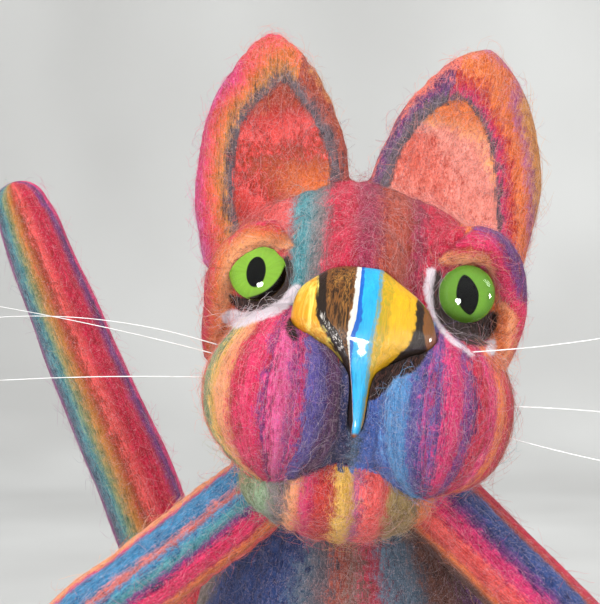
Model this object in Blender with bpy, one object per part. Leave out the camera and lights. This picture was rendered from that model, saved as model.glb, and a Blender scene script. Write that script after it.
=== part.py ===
"""A seated cat of needle-felted wool, with glass eyes, a painted wooden nose and nylon whiskers.

The cat faces -Y. Its felt is one solid, felted together from rounded forms. The eyes and the nose
sit in hollows of the felt, and each whisker starts at the felt's surface. All sizes are in metres.
"""

import math
from dataclasses import dataclass

import bmesh
import bpy
from mathutils import Matrix, Vector
from mathutils.bvhtree import BVHTree

# The head: its place is the point midway between the eyes
EYE_HEIGHT = 0.165
EYE_FORWARD = 0.053
HEAD_LEAN = math.radians(6.0)

# The glass eyes
EYE_DIAMETER = 0.0140
EYE_SPACING = 0.0506
EYE_DOME = 0.0042
EYE_BACK = 0.0034
EYE_SINK = 0.0012
EYE_TURN = math.radians(9.0)

# The wooden nose: a broad body over a narrow stem, with its heights taken down from its top
NOSE_WIDTH = 0.0326
NOSE_HEIGHT = 0.0394
NOSE_WIDEST = 0.0132
NOSE_WAIST = 0.0194
NOSE_WAIST_BEND = 0.00125
NOSE_STEM_WIDTH = 0.0066
NOSE_THICKNESS = 0.0080
NOSE_BACK = 0.0009
NOSE_SINK = 0.0026
NOSE_TILT = math.radians(13.0)
NOSE_TOP = 0.0036

# The drawing of the nose: how round it is along its height, and how its thickness follows its width
NOSE_TOP_ROUNDNESS = 0.55
NOSE_STEM_TAPER = 0.6
NOSE_FIRST_RING_SHARE = 0.01
NOSE_RINGS_SHARE = 0.975
NOSE_PROFILE_ROUNDNESS = 0.35
NOSE_EVEN_SHARE = 0.55
NOSE_FULL_SHARE = 0.45
NOSE_FRONT_ROUNDNESS = 0.8
NOSE_BACK_SHARE = 0.8

# The muzzle, with its nose and cheeks, stands a little to the side of +X
MUZZLE_SHIFT = 0.0018

# The nylon whiskers
WHISKER_DIAMETER = 0.0004
WHISKER_LENGTH = 0.060

# Fits: clear space around a piece that is set into the felt
FIT_GAP = 0.0003

# How the felt is worked: the fineness of its surface and the roundness of its creases
FELT_GRAIN = 0.0018
FELT_ROUNDING = 10
FELT_SHARE_OF_FACES = 0.064

# The ears: pointed shells with a hollow front
EAR_HEIGHT = 0.0610
EAR_WIDTH = 0.0425
EAR_DEPTH = 0.0190
EAR_HOLLOW = 0.0070
EAR_SPREAD = 0.0212
EAR_BASE = 0.0020
EAR_BACK = 0.0240
EAR_LEAN = math.radians(7.5)
EAR_TURN = math.radians(12.0)

# The drawing of an ear, as shares of its height or width
EAR_WIDEST_SHARE = 0.30
EAR_FOOT_SHARE = 0.90
EAR_TIP_FULLNESS = 2.3
EAR_TIP_ROUNDNESS = 0.72
EAR_THINNING_SHARE = 0.30
EAR_HOLLOW_SHARE = 0.80
EAR_HOLLOW_END = 3
EAR_TOP_SHARE = 0.995

# Thickness of the limbs
ARM_THICKNESS = 0.0205
SHOULDER_SHARE = 0.92
PAW_THICKNESS = 0.0250
TOE_DROP = 0.001
SHIN_THICKNESS = 0.0230
TAIL_ROOT_THICKNESS = 0.0290
TAIL_TIP_THICKNESS = 0.0160

SIDES = {"left": -1, "right": 1}


@dataclass(frozen=True)
class Ball:
    """A rounded form of felt: its middle, its three half-sizes and its turn about Z."""

    middle: tuple
    half_sizes: tuple
    turn: float = 0.0


@dataclass(frozen=True)
class Limb:
    """A long form of felt: points along its middle, its thickness at each, its depth as a share of it."""

    path: tuple
    thickness: tuple
    depth: float = 1.0


@dataclass(frozen=True)
class Whisker:
    """One whisker, from between the eyes: its root in the cheek, a point that it aims at, its sag."""

    root: tuple
    aim: tuple
    sag: float


# Forms of the head, from the point midway between the eyes: x to the side, y back, z up
SKULL = Ball((0.0, 0.0270, -0.0055), (0.0385, 0.0365, 0.0315))
BRIDGE = Ball((0.0, 0.0040, -0.0010), (0.0135, 0.0175, 0.0170))
MUZZLE = Ball((MUZZLE_SHIFT, -0.0010, -0.0270), (0.0180, 0.0190, 0.0195))
CHIN = Ball((-0.0010, 0.0050, -0.0495), (0.0240, 0.0195, 0.0135))
JAW = Ball((0.0, 0.0220, -0.0360), (0.0310, 0.0270, 0.0240))
PADS = {side: Ball((MUZZLE_SHIFT * way + 0.0182, -0.0045, -0.0285), (0.0190, 0.0200, 0.0208))
        for side, way in SIDES.items()}
LID = Limb(((0.0150, -0.0010, 0.0080), (0.0215, -0.0005, 0.0108), (0.0290, 0.0015, 0.0102),
            (0.0345, 0.0050, 0.0050), (0.0364, 0.0080, -0.0040), (0.0352, 0.0090, -0.0130)),
           (0.0080, 0.0085, 0.0085, 0.0080, 0.0075, 0.0070))

# Forms of the body, from the middle of the seat
TORSO = Limb(((0.0, -0.0180, 0.1200), (0.0, -0.0090, 0.1040), (0.0, -0.0020, 0.0860), (0.0, 0.0, 0.0650),
              (0.0, 0.0, 0.0370)), (0.0440, 0.0660, 0.0820, 0.0900, 0.0920), 0.84)
THIGH = Ball((0.0410, -0.0170, 0.0290), (0.0200, 0.0360, 0.0290), math.radians(-10.0))

ARM_PATHS = {
    "left": ((-0.012, -0.025, 0.122), (-0.026, -0.033, 0.1125), (-0.0475, -0.036, 0.096),
             (-0.069, -0.037, 0.0795), (-0.086, -0.039, 0.059), (-0.094, -0.044, 0.034),
             (-0.096, -0.051, 0.0115)),
    "right": ((0.010, -0.025, 0.119), (0.0215, -0.034, 0.1085), (0.040, -0.039, 0.0905),
              (0.060, -0.044, 0.071), (0.076, -0.048, 0.051), (0.085, -0.053, 0.030),
              (0.088, -0.058, 0.0115)),
}
PAW_REACH = 0.0110
SHIN_PATH = ((0.041, -0.031, 0.017), (0.045, -0.051, 0.0105), (0.047, -0.070, 0.0105))
TAIL_PATH = ((-0.008, 0.027, 0.026), (-0.022, 0.057, 0.022), (-0.040, 0.075, 0.040),
             (-0.0525, 0.079, 0.070), (-0.066, 0.079, 0.105), (-0.0835, 0.078, 0.146),
             (-0.097, 0.076, 0.180), (-0.101, 0.075, 0.190))
FLOOR_CUT = 0.0

WHISKERS = {
    "left_top": Whisker((-0.0330, -0.0050, -0.0205), (-0.0850, -0.0170, -0.0120), 0.003),
    "left_middle": Whisker((-0.0345, -0.0020, -0.0180), (-0.0800, -0.0090, -0.0085), 0.012),
    "left_low": Whisker((-0.0345, -0.0040, -0.0262), (-0.0850, -0.0110, -0.0300), 0.003),
    "right_top": Whisker((0.0262, -0.0160, -0.0135), (0.0780, -0.0300, -0.0045), -0.006),
    "right_middle": Whisker((0.0375, -0.0060, -0.0255), (0.0850, -0.0140, -0.0215), 0.006),
    "right_low": Whisker((0.0380, -0.0040, -0.0330), (0.0850, -0.0140, -0.0405), -0.005),
}
WHISKER_STEPS = 7

WOOL = {"colour": (0.72, 0.16, 0.26, 1.0), "roughness": 0.95, "metallic": 0.0}
GLASS = {"colour": (0.35, 0.60, 0.12, 1.0), "roughness": 0.05, "metallic": 0.0}
LACQUER = {"colour": (0.93, 0.55, 0.05, 1.0), "roughness": 0.12, "metallic": 0.0}
NYLON = {"colour": (0.88, 0.88, 0.86, 1.0), "roughness": 0.25, "metallic": 0.0}


def clear_scene():
    """Remove every object that the file starts with."""
    for old in list(bpy.data.objects):
        bpy.data.objects.remove(old, do_unlink=True)


def material(name, colour, roughness, metallic):
    """Make a plain material of one colour."""
    made = bpy.data.materials.new(name)
    made.use_nodes = True
    shader = made.node_tree.nodes["Principled BSDF"]
    shader.inputs["Base Color"].default_value = colour
    shader.inputs["Roughness"].default_value = roughness
    shader.inputs["Metallic"].default_value = metallic
    return made


def put(name, mesh, finish=None):
    """Put a mesh into the scene as a named object."""
    thing = bpy.data.objects.new(name, mesh)
    bpy.context.scene.collection.objects.link(thing)
    if finish:
        mesh.materials.append(finish)
    return thing


def mesh_of(shape, name):
    """Turn a finished bmesh into a mesh with its faces pointing out."""
    shape.normal_update()
    bmesh.ops.recalc_face_normals(shape, faces=shape.faces)
    mesh = bpy.data.meshes.new(name)
    shape.to_mesh(mesh)
    shape.free()
    return mesh


def head_frame():
    """The head's place: midway between the eyes, leaning to the side of +X."""
    return Matrix.Translation((0.0, -EYE_FORWARD, EYE_HEIGHT)) @ Matrix.Rotation(HEAD_LEAN, 4, "Y")


def mirrored(point, side):
    """A point given for the +X side, on the named side."""
    return Vector((point[0] * SIDES[side], point[1], point[2]))


def add_ball(shape, ball, frame, side="right"):
    """Add one rounded form to the felt."""
    turn = Matrix.Rotation(ball.turn * SIDES[side], 4, "Z")
    size = Matrix.Diagonal((*ball.half_sizes, 1.0))
    place = Matrix.Translation(mirrored(ball.middle, side))
    bmesh.ops.create_icosphere(shape, subdivisions=4, radius=1.0, matrix=frame @ place @ turn @ size)


def smooth_points(path, steps):
    """Points on a smooth curve through the points of a path, several for each stretch."""
    points = [Vector(p) for p in path]
    ends = [2 * points[0] - points[1]] + points + [2 * points[-1] - points[-2]]
    found = []
    for before, start, end, after in zip(ends, ends[1:], ends[2:], ends[3:]):
        for step in range(steps):
            t = step / steps
            found.append(0.5 * (2 * start + (end - before) * t
                                + (2 * before - 5 * start + 4 * end - after) * t ** 2
                                + (3 * start - before - 3 * end + after) * t ** 3))
    return found + [points[-1]]


def add_limb(shape, limb, frame=None, side="right", steps=5):
    """Add a long rounded form: overlapping balls along a smooth curve."""
    frame = frame or Matrix.Identity(4)
    path = smooth_points(limb.path, steps)
    sizes = smooth_points([(t, 0.0, 0.0) for t in limb.thickness], steps)
    for point, size in zip(path, sizes):
        half = size.x / 2
        place = frame @ Matrix.Translation(mirrored(point, side))
        size = Matrix.Diagonal((half, half * limb.depth, half, 1.0))
        bmesh.ops.create_icosphere(shape, subdivisions=3, radius=1.0, matrix=place @ size)


def ear_half_width(share):
    """Half-width of an ear at a share of its height: nearly upright sides under a round tip."""
    if share <= EAR_WIDEST_SHARE:
        swell = math.sin(0.5 * math.pi * share / EAR_WIDEST_SHARE)
        return 0.5 * EAR_WIDTH * (EAR_FOOT_SHARE + (1.0 - EAR_FOOT_SHARE) * swell)
    rise = (share - EAR_WIDEST_SHARE) / (1.0 - EAR_WIDEST_SHARE)
    return 0.5 * EAR_WIDTH * max(1.0 - rise ** EAR_TIP_FULLNESS, 0.0) ** EAR_TIP_ROUNDNESS


def ear_section(share, count=12):
    """The outline of an ear cut level: round behind and hollow in front."""
    half = ear_half_width(share)
    fullness = half / (0.5 * EAR_WIDTH)
    depth = 0.5 * EAR_DEPTH * (1.0 - EAR_THINNING_SHARE * share)
    hollow = EAR_HOLLOW * fullness * (1.0 - share ** EAR_HOLLOW_END)
    outline = []
    for step in range(2 * count):
        angle = math.pi * step / count
        x = half * math.cos(angle)
        y = depth * math.sqrt(fullness) * math.sin(angle)
        if y < 0.0:
            across = x / (EAR_HOLLOW_SHARE * half)
            y += hollow * max(1.0 - across * across, 0.0)
        outline.append((x, y))
    return outline


def add_ear(shape, side, rows=18):
    """Add one ear: level sections stacked from its foot to its tip."""
    frame = (head_frame() @ Matrix.Translation(mirrored((EAR_SPREAD, EAR_BACK, EAR_BASE), side))
             @ Matrix.Rotation(EAR_LEAN * SIDES[side], 4, "Y")
             @ Matrix.Rotation(EAR_TURN * SIDES[side], 4, "Z"))
    rings = []
    for row in range(rows):
        share = EAR_TOP_SHARE * math.sin(0.5 * math.pi * row / (rows - 1))
        height = share * EAR_HEIGHT
        ring = [shape.verts.new(frame @ Vector((x, y, height))) for x, y in ear_section(share)]
        rings.append(ring)
    for low, high in zip(rings, rings[1:]):
        for step in range(len(low)):
            after = (step + 1) % len(low)
            shape.faces.new((low[step], low[after], high[after], high[step]))
    shape.faces.new(rings[0])
    shape.faces.new(rings[-1])


def add_arm(shape, side):
    """Add one arm with its paw, which points forwards along the floor."""
    path = ARM_PATHS[side]
    thickness = [SHOULDER_SHARE * ARM_THICKNESS] + [ARM_THICKNESS] * (len(path) - 2) + [PAW_THICKNESS]
    add_limb(shape, Limb(path, tuple(thickness)))
    wrist = Vector(path[-1])
    toe = wrist + Vector((0.0, -PAW_REACH, -TOE_DROP))
    add_limb(shape, Limb((tuple(wrist), tuple(toe)), (PAW_THICKNESS, PAW_THICKNESS)))


def add_leg(shape, side):
    """Add one hind leg: a folded thigh with its foot in front."""
    add_ball(shape, THIGH, Matrix.Identity(4), side)
    add_limb(shape, Limb(SHIN_PATH, (SHIN_THICKNESS,) * len(SHIN_PATH)), side=side)


def add_tail(shape):
    """Add the tail, thick at its root and slimmer towards its tip."""
    last = len(TAIL_PATH) - 1
    thickness = tuple(TAIL_ROOT_THICKNESS + (TAIL_TIP_THICKNESS - TAIL_ROOT_THICKNESS) * (i / last) ** 2
                      for i in range(last + 1))
    add_limb(shape, Limb(TAIL_PATH, thickness))


def felt_forms():
    """All the rounded forms of the felt, overlapping one another."""
    shape = bmesh.new()
    head = head_frame()
    for ball in (SKULL, BRIDGE, MUZZLE, CHIN, JAW):
        add_ball(shape, ball, head)
    for side in SIDES:
        add_ball(shape, PADS[side], head, side)
        add_limb(shape, LID, head, side)
        add_ear(shape, side)
        add_arm(shape, side)
        add_leg(shape, side)
    add_limb(shape, TORSO)
    add_tail(shape)
    return mesh_of(shape, "felt_cat")


def front_of_felt(balls, x, z):
    """How far back the foremost of some balls of the head lies, at a place on the face."""
    found = []
    for ball in balls:
        across = (x - ball.middle[0]) / ball.half_sizes[0]
        up = (z - ball.middle[2]) / ball.half_sizes[2]
        rest = 1.0 - across * across - up * up
        if rest > 0.0:
            found.append(ball.middle[1] - ball.half_sizes[1] * math.sqrt(rest))
    return min(found)


def eye_frame(side):
    """The place of an eye: its middle is where the glass is widest, and its front is -Y."""
    x = 0.5 * EYE_SPACING
    y = front_of_felt((SKULL,), x, 0.0) + EYE_SINK
    return (head_frame() @ Matrix.Translation(mirrored((x, y, 0.0), side))
            @ Matrix.Rotation(EYE_TURN * SIDES[side], 4, "Z"))


def eye_mesh(name, side, grow=0.0):
    """A turned glass dome over a shallow round back; grow makes the hollow that it sits in."""
    shape = bmesh.new()
    bmesh.ops.create_uvsphere(shape, u_segments=24, v_segments=12, radius=1.0)
    frame = eye_frame(side)
    radius = 0.5 * EYE_DIAMETER + grow
    for point in shape.verts:
        depth = EYE_DOME + grow if point.co.z > 0.0 else EYE_BACK + grow
        local = Vector((point.co.x * radius, -point.co.z * depth, point.co.y * radius))
        point.co = frame @ local
    return mesh_of(shape, name)


def nose_half_width(drop):
    """Half-width of the nose at a drop below its top: a round body, a waist and a tapering stem."""
    stem = 0.5 * NOSE_STEM_WIDTH
    body = 0.5 * NOSE_WIDTH - stem
    rising = math.sin(0.5 * math.pi * min(drop / NOSE_WIDEST, 1.0)) ** NOSE_TOP_ROUNDNESS
    waist = 1.0 / (1.0 + math.exp((drop - NOSE_WAIST) / NOSE_WAIST_BEND))
    fall = max(drop - NOSE_WAIST, 0.0) / (NOSE_HEIGHT - NOSE_WAIST)
    return rising * (body * waist + stem * max(1.0 - fall, 0.0) ** NOSE_STEM_TAPER)


def nose_frame():
    """The place of the nose: the middle of its top edge, with its back sunk into the bridge."""
    y = front_of_felt((BRIDGE,), MUZZLE_SHIFT, NOSE_TOP) + NOSE_SINK
    return (head_frame() @ Matrix.Translation((MUZZLE_SHIFT, y, NOSE_TOP))
            @ Matrix.Rotation(-NOSE_TILT, 4, "X"))


def nose_mesh(name, grow=0.0, rows=21, count=8):
    """The nose as stacked level sections, each rounded in front and flat behind."""
    shape = bmesh.new()
    frame = nose_frame()
    rings = []
    for row in range(rows):
        share = NOSE_FIRST_RING_SHARE + NOSE_RINGS_SHARE * row / (rows - 1)
        drop = NOSE_HEIGHT * share
        half = nose_half_width(drop)
        fullness = half / (0.5 * NOSE_WIDTH)
        roundness = math.sin(math.pi * share) ** NOSE_PROFILE_ROUNDNESS
        depth = NOSE_THICKNESS * (NOSE_EVEN_SHARE * roundness + NOSE_FULL_SHARE * fullness)
        ring = []
        for step in range(count + 1):
            angle = math.pi * step / count
            x = (half + grow) * math.cos(angle)
            y = -(depth + grow) * math.sin(angle) ** NOSE_FRONT_ROUNDNESS if 0 < step < count else 0.0
            ring.append(shape.verts.new(frame @ Vector((x, y, -drop))))
        for x in (-NOSE_BACK_SHARE * half, NOSE_BACK_SHARE * half):
            ring.append(shape.verts.new(frame @ Vector((x, NOSE_BACK + grow, -drop))))
        rings.append(ring)
    for low, high in zip(rings, rings[1:]):
        for step in range(len(low)):
            after = (step + 1) % len(low)
            shape.faces.new((low[step], low[after], high[after], high[step]))
    shape.faces.new(rings[0])
    shape.faces.new(rings[-1])
    return mesh_of(shape, name)


def floor_mesh():
    """A block whose top is the floor: what it takes off leaves the cat's underside flat."""
    shape = bmesh.new()
    reach = 2.0 * EYE_HEIGHT
    size = Matrix.Diagonal((2.0 * reach, 2.0 * reach, reach, 1.0))
    place = Matrix.Translation((0.0, 0.0, FLOOR_CUT - 0.5 * reach))
    bmesh.ops.create_cube(shape, size=1.0, matrix=place @ size)
    return mesh_of(shape, "floor_cutter")


def cut(thing, name, mesh):
    """Cut one shape out of an object."""
    cutter = put(name, mesh)
    cutter.hide_render = True
    cutter.display_type = "WIRE"
    modifier = thing.modifiers.new(name, "BOOLEAN")
    modifier.operation = "DIFFERENCE"
    modifier.object = cutter


def make_felt(finish):
    """Felt the forms into one solid, flatten its underside and make the hollows in its face."""
    felt = put("felt_cat", felt_forms(), finish)
    remesh = felt.modifiers.new("felted", "REMESH")
    remesh.mode = "VOXEL"
    remesh.voxel_size = FELT_GRAIN
    smooth = felt.modifiers.new("rounded", "SMOOTH")
    smooth.factor = 0.5
    smooth.iterations = FELT_ROUNDING
    fewer = felt.modifiers.new("fewer_faces", "DECIMATE")
    fewer.ratio = FELT_SHARE_OF_FACES
    cut(felt, "floor_cutter", floor_mesh())
    for side in SIDES:
        cut(felt, f"eye_hollow_{side}", eye_mesh(f"eye_hollow_{side}", side, FIT_GAP))
    cut(felt, "nose_hollow", nose_mesh("nose_hollow", FIT_GAP))
    return felt


def make_eyes(finish):
    """Make both glass eyes."""
    for side in SIDES:
        eye = put(f"eye_{side}", eye_mesh(f"eye_{side}", side), finish)
        eye.data.shade_smooth()


def make_nose(finish):
    """Make the painted nose."""
    nose = put("nose", nose_mesh("nose"), finish)
    nose.data.shade_smooth()


def make_whisker(name, whisker, surface, finish):
    """Make one whisker, a fine bent tube that starts just off the felt."""
    frame = head_frame()
    root = frame @ Vector(whisker.root)
    aim = frame @ Vector(whisker.aim)
    way = (aim - root).normalized()
    start = surface.ray_cast(aim, -way)[0] + way * (FIT_GAP + WHISKER_DIAMETER)
    curve = bpy.data.curves.new(name, "CURVE")
    curve.dimensions = "3D"
    curve.bevel_depth = 0.5 * WHISKER_DIAMETER
    curve.bevel_resolution = 1
    curve.use_fill_caps = True
    spline = curve.splines.new("POLY")
    spline.points.add(WHISKER_STEPS - 1)
    for index, point in enumerate(spline.points):
        share = index / (WHISKER_STEPS - 1)
        sag = Vector((0.0, 0.0, -whisker.sag * share ** 2))
        point.co = (*(start + way * (WHISKER_LENGTH * share) + sag), 1.0)
    put(name, curve, finish)


def make_whiskers(felt, finish):
    """Make three whiskers on each cheek."""
    bpy.context.view_layer.update()
    surface = BVHTree.FromObject(felt, bpy.context.evaluated_depsgraph_get())
    for name, whisker in WHISKERS.items():
        make_whisker(f"whisker_{name}", whisker, surface, finish)


def main():
    """Build the whole cat."""
    clear_scene()
    felt = make_felt(material("wool", **WOOL))
    make_eyes(material("eye_glass", **GLASS))
    make_nose(material("nose_lacquer", **LACQUER))
    make_whiskers(felt, material("whisker_nylon", **NYLON))


main()
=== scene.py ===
"""The looks of a seated cat of needle-felted wool, with glass eyes, a painted nose and whiskers.

The cat faces -Y. The wool is modelled once as a felted body, dressed with dyed rovings that run along
each of its forms, and finished with loose fibres. All sizes are in metres unless a name says otherwise.
"""

from __future__ import annotations

import logging
import math
from collections.abc import Callable, Iterable, Iterator, Sequence
from dataclasses import dataclass
from enum import Enum

import bpy
import numpy as np
from mathutils import Matrix, Vector
from mathutils.bvhtree import BVHTree


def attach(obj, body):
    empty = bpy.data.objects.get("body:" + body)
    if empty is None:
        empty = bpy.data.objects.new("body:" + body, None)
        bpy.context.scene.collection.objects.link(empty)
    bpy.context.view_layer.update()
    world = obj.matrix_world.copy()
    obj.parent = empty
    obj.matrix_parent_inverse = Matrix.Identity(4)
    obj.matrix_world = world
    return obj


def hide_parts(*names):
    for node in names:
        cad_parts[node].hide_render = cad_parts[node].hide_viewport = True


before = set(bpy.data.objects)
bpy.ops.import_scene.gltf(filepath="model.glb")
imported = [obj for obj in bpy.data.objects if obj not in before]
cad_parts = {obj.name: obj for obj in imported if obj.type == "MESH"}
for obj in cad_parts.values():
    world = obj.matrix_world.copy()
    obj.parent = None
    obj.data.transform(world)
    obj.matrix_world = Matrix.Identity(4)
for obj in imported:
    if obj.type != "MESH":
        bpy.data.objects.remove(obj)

LOG = logging.getLogger("felted_cat")
MM = 0.001
SIDES = {"left": -1, "right": 1}

Colour = tuple[float, float, float]
Point = tuple[float, float, float]


class Display(Enum):
    """Colours that are written as 8-bit display values."""

    @property
    def linear(self) -> Colour:
        """The colour as scene-linear values."""
        shares = (value / 255.0 for value in self.value)
        return tuple(s / 12.92 if s <= 0.04045 else ((s + 0.055) / 1.055) ** 2.4 for s in shares)


class Dye(Display):
    """The dyed wools."""

    LILAC = (216, 138, 196)
    MAGENTA = (222, 58, 122)
    HOT_PINK = (248, 72, 138)
    CRIMSON = (206, 42, 74)
    RED = (212, 66, 60)
    RUST = (186, 82, 58)
    CORAL = (240, 104, 100)
    SALMON = (238, 126, 106)
    ORANGE = (236, 134, 72)
    PEACH = (252, 180, 128)
    OCHRE = (214, 150, 78)
    GOLD = (236, 192, 96)
    OLIVE = (164, 138, 84)
    SAGE = (152, 166, 122)
    PALE_GREEN = (168, 196, 158)
    TEAL = (92, 164, 172)
    SKY = (98, 160, 212)
    BLUE = (84, 116, 190)
    NAVY = (56, 62, 106)
    STEEL = (100, 124, 144)
    PURPLE = (118, 60, 130)
    MAUVE = (178, 96, 152)
    PALE_PINK = (248, 166, 150)
    WHITE = (238, 226, 232)
    MIST = (206, 190, 206)
    GREY = (146, 136, 136)
    SLATE = (118, 108, 116)
    PINK = (226, 98, 156)
    PLUM = (92, 50, 92)
    BERRY = (168, 50, 84)
    ROSE = (232, 56, 110)
    AZURE = (74, 148, 192)
    VIOLET = (96, 84, 156)
    INDIGO = (60, 86, 146)
    TAUPE = (142, 128, 120)
    BROWN = (112, 70, 58)
    BLACK = (26, 18, 20)


@dataclass(frozen=True)
class Stripes:
    """Rovings laid side by side: where the first starts, then each dye with the place where it ends."""

    start: float
    bands: tuple[tuple[Display, float], ...]
    soft: float = 0.8

    @property
    def end(self) -> float:
        """Where the last roving ends."""
        return self.bands[-1][1]

    def stops(self) -> list[tuple[float, Colour]]:
        """Give each roving's colour near its two edges.

        Returns:
            Places from 0 to 1 across all the rovings, in order, each with its colour.
        """
        found = []
        low = self.start
        for dye, high in self.bands:
            inset = min(self.soft, 0.45 * (high - low))
            for place in (low + inset, high - inset):
                found.append(((place - self.start) / (self.end - self.start), dye.linear))
            low = high
        return found

    def fill(self, ramp: bpy.types.ColorRamp) -> None:
        """Set a colour ramp to these rovings.

        Args:
            ramp: The ramp to fill, with its first two stops.
        """
        stops = self.stops()
        for place, _ in stops[2:]:
            ramp.elements.new(place)
        for element, (place, colour) in zip(ramp.elements, stops):
            element.position = place
            element.color = (*colour, 1.0)

    def look_up(self, places: np.ndarray) -> np.ndarray:
        """Find the colour at many places.

        Args:
            places: Where to look, in the stripes' own measure.

        Returns:
            One row of red, green and blue for each place.
        """
        shares = (places - self.start) / (self.end - self.start)
        known, colours = zip(*self.stops())
        return np.stack([np.interp(shares, known, channel) for channel in zip(*colours)], axis=1)


def choose(things: Iterable[bpy.types.Object]) -> bpy.types.Object:
    """Select some objects and make the first one active.

    Args:
        things: The objects.

    Returns:
        The active object.
    """
    bpy.ops.object.select_all(action="DESELECT")
    things = list(things)
    for thing in things:
        thing.select_set(True)
    bpy.context.view_layer.objects.active = things[0]
    return things[0]


def edit(thing: bpy.types.Object, tool: Callable[..., object], **settings: object) -> None:
    """Run one edit-mode tool on all of a mesh.

    Args:
        thing: The object.
        tool: The tool.
        settings: The tool's settings.
    """
    choose([thing])
    bpy.ops.object.mode_set(mode="EDIT")
    bpy.ops.mesh.select_all(action="SELECT")
    tool(**settings)
    bpy.ops.object.mode_set(mode="OBJECT")


def show(name: str, data: bpy.types.ID) -> bpy.types.Object:
    """Put new data into the scene as a named object."""
    thing = bpy.data.objects.new(name, data)
    bpy.context.scene.collection.objects.link(thing)
    return thing


def settle(thing: bpy.types.Object) -> bpy.types.Object:
    """Move an object's place, turn and scale into its mesh.

    Args:
        thing: The object.

    Returns:
        The same object.
    """
    choose([thing])
    bpy.ops.object.transform_apply(location=True, rotation=True, scale=True)
    return thing


def join(things: Sequence[bpy.types.Object], name: str) -> bpy.types.Object:
    """Join meshes into one named object at the origin.

    Args:
        things: The objects to join.
        name: The name that the joined object gets.

    Returns:
        The joined object.
    """
    joined = choose(things)
    bpy.ops.object.join()
    joined.name = name
    joined.data.name = name
    return settle(joined)


def apply_modifier(thing: bpy.types.Object, kind: str, **settings: object) -> None:
    """Add a modifier, set it and apply it.

    Args:
        thing: The object that gets it.
        kind: Blender's name for the kind of modifier.
        settings: Values for the modifier's properties.
    """
    choose([thing])
    modifier = thing.modifiers.new(kind.lower(), kind)
    for key, value in settings.items():
        setattr(modifier, key, value)
    bpy.ops.object.modifier_apply(modifier=modifier.name)


def read_points(thing: bpy.types.Object, what: str = "co") -> np.ndarray:
    """Read a mesh's points, or their normals, as one row each."""
    flat = np.empty(3 * len(thing.data.vertices), dtype=np.float32)
    thing.data.vertices.foreach_get(what, flat)
    return flat.reshape(-1, 3).astype(float)


def write_points(thing: bpy.types.Object, points: np.ndarray) -> None:
    """Write a mesh's points back."""
    thing.data.vertices.foreach_set("co", points.astype(np.float32).ravel())
    thing.data.update()


def store(thing: bpy.types.Object, name: str, values: np.ndarray) -> None:
    """Keep a number or a vector at each point, for the materials to read.

    Args:
        thing: The object.
        name: The attribute's name.
        values: One number, or one row of three, for each point.
    """
    kind, key = ("FLOAT", "value") if values.ndim == 1 else ("FLOAT_VECTOR", "vector")
    made = thing.data.attributes.new(name, kind, "POINT")
    made.data.foreach_set(key, values.astype(np.float32).ravel())


def moved(points: np.ndarray, matrix: Matrix) -> np.ndarray:
    """Carry points through a matrix.

    Args:
        points: One row for each point.
        matrix: A four by four matrix.

    Returns:
        The moved points.
    """
    table = np.array(matrix)
    return points @ table[:3, :3].T + table[:3, 3]


def unit(vectors: np.ndarray) -> np.ndarray:
    """Make each row one unit long."""
    return vectors / np.maximum(np.linalg.norm(vectors, axis=1, keepdims=True), 1e-9)


def ease(values: np.ndarray, low: float, high: float) -> np.ndarray:
    """Rise smoothly from 0 at low to 1 at high."""
    share = np.clip((values - low) / (high - low), 0.0, 1.0)
    return share * share * (3.0 - 2.0 * share)


def mirrored(point: Sequence[float], way: int) -> Vector:
    """Give a point of the +X side on the side that the sign names."""
    return Vector((point[0] * way, point[1], point[2]))


def smooth_path(path: Sequence[Sequence[float]], steps: int) -> np.ndarray:
    """Run a smooth curve through the rows of a path.

    Args:
        path: Points, or other rows of numbers, that the curve passes through.
        steps: How many stretches each part of the path is cut into.

    Returns:
        One row for each point of the curve.
    """
    rows = np.array(path, dtype=float)
    ends = np.vstack([2 * rows[0] - rows[1], rows, 2 * rows[-1] - rows[-2]])
    share = (np.arange(steps) / steps)[:, None]
    found = []
    for before, start, end, after in zip(ends, ends[1:], ends[2:], ends[3:]):
        found.append(0.5 * (2 * start + (end - before) * share
                            + (2 * before - 5 * start + 4 * end - after) * share ** 2
                            + (3 * start - before - 3 * end + after) * share ** 3))
    return np.vstack([*found, rows[-1]])


@dataclass(frozen=True)
class Ball:
    """A rounded form of felt: its middle, its three half-sizes and its turn about Z."""

    middle: Point
    half_sizes: Point
    turn: float = 0.0

    def frame(self, base: Matrix, way: int = 1) -> Matrix:
        """Give the ball's place and turn, on the side that the sign names."""
        turn = Matrix.Rotation(self.turn * way, 4, "Z")
        return base @ Matrix.Translation(mirrored(self.middle, way)) @ turn

    def build(self, base: Matrix, way: int = 1) -> bpy.types.Object:
        """Model the ball as a round primitive that is stretched to its half-sizes."""
        place = self.frame(base, way)
        bpy.ops.mesh.primitive_ico_sphere_add(subdivisions=5, radius=1.0, location=place.translation,
                                              rotation=place.to_euler())
        bpy.context.object.scale = self.half_sizes
        return bpy.context.object

    def local(self, points: np.ndarray, base: Matrix, way: int = 1) -> np.ndarray:
        """Give points in the ball's own measure, where its skin is 1 from its middle."""
        return moved(points, self.frame(base, way).inverted()) / np.array(self.half_sizes)

    def gap(self, points: np.ndarray, base: Matrix, way: int = 1) -> np.ndarray:
        """Measure how far points lie outside the ball."""
        local = self.local(points, base, way)
        share = np.maximum(np.linalg.norm(local, axis=1), 1e-6)
        reach = np.linalg.norm(local * np.array(self.half_sizes), axis=1)
        return reach * (1.0 - 1.0 / share)

    def front(self, x: float, z: float) -> float:
        """Find how far back the ball's front lies at a place on the face."""
        across = (x - self.middle[0]) / self.half_sizes[0]
        up = (z - self.middle[2]) / self.half_sizes[2]
        return self.middle[1] - self.half_sizes[1] * math.sqrt(1.0 - across * across - up * up)


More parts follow.
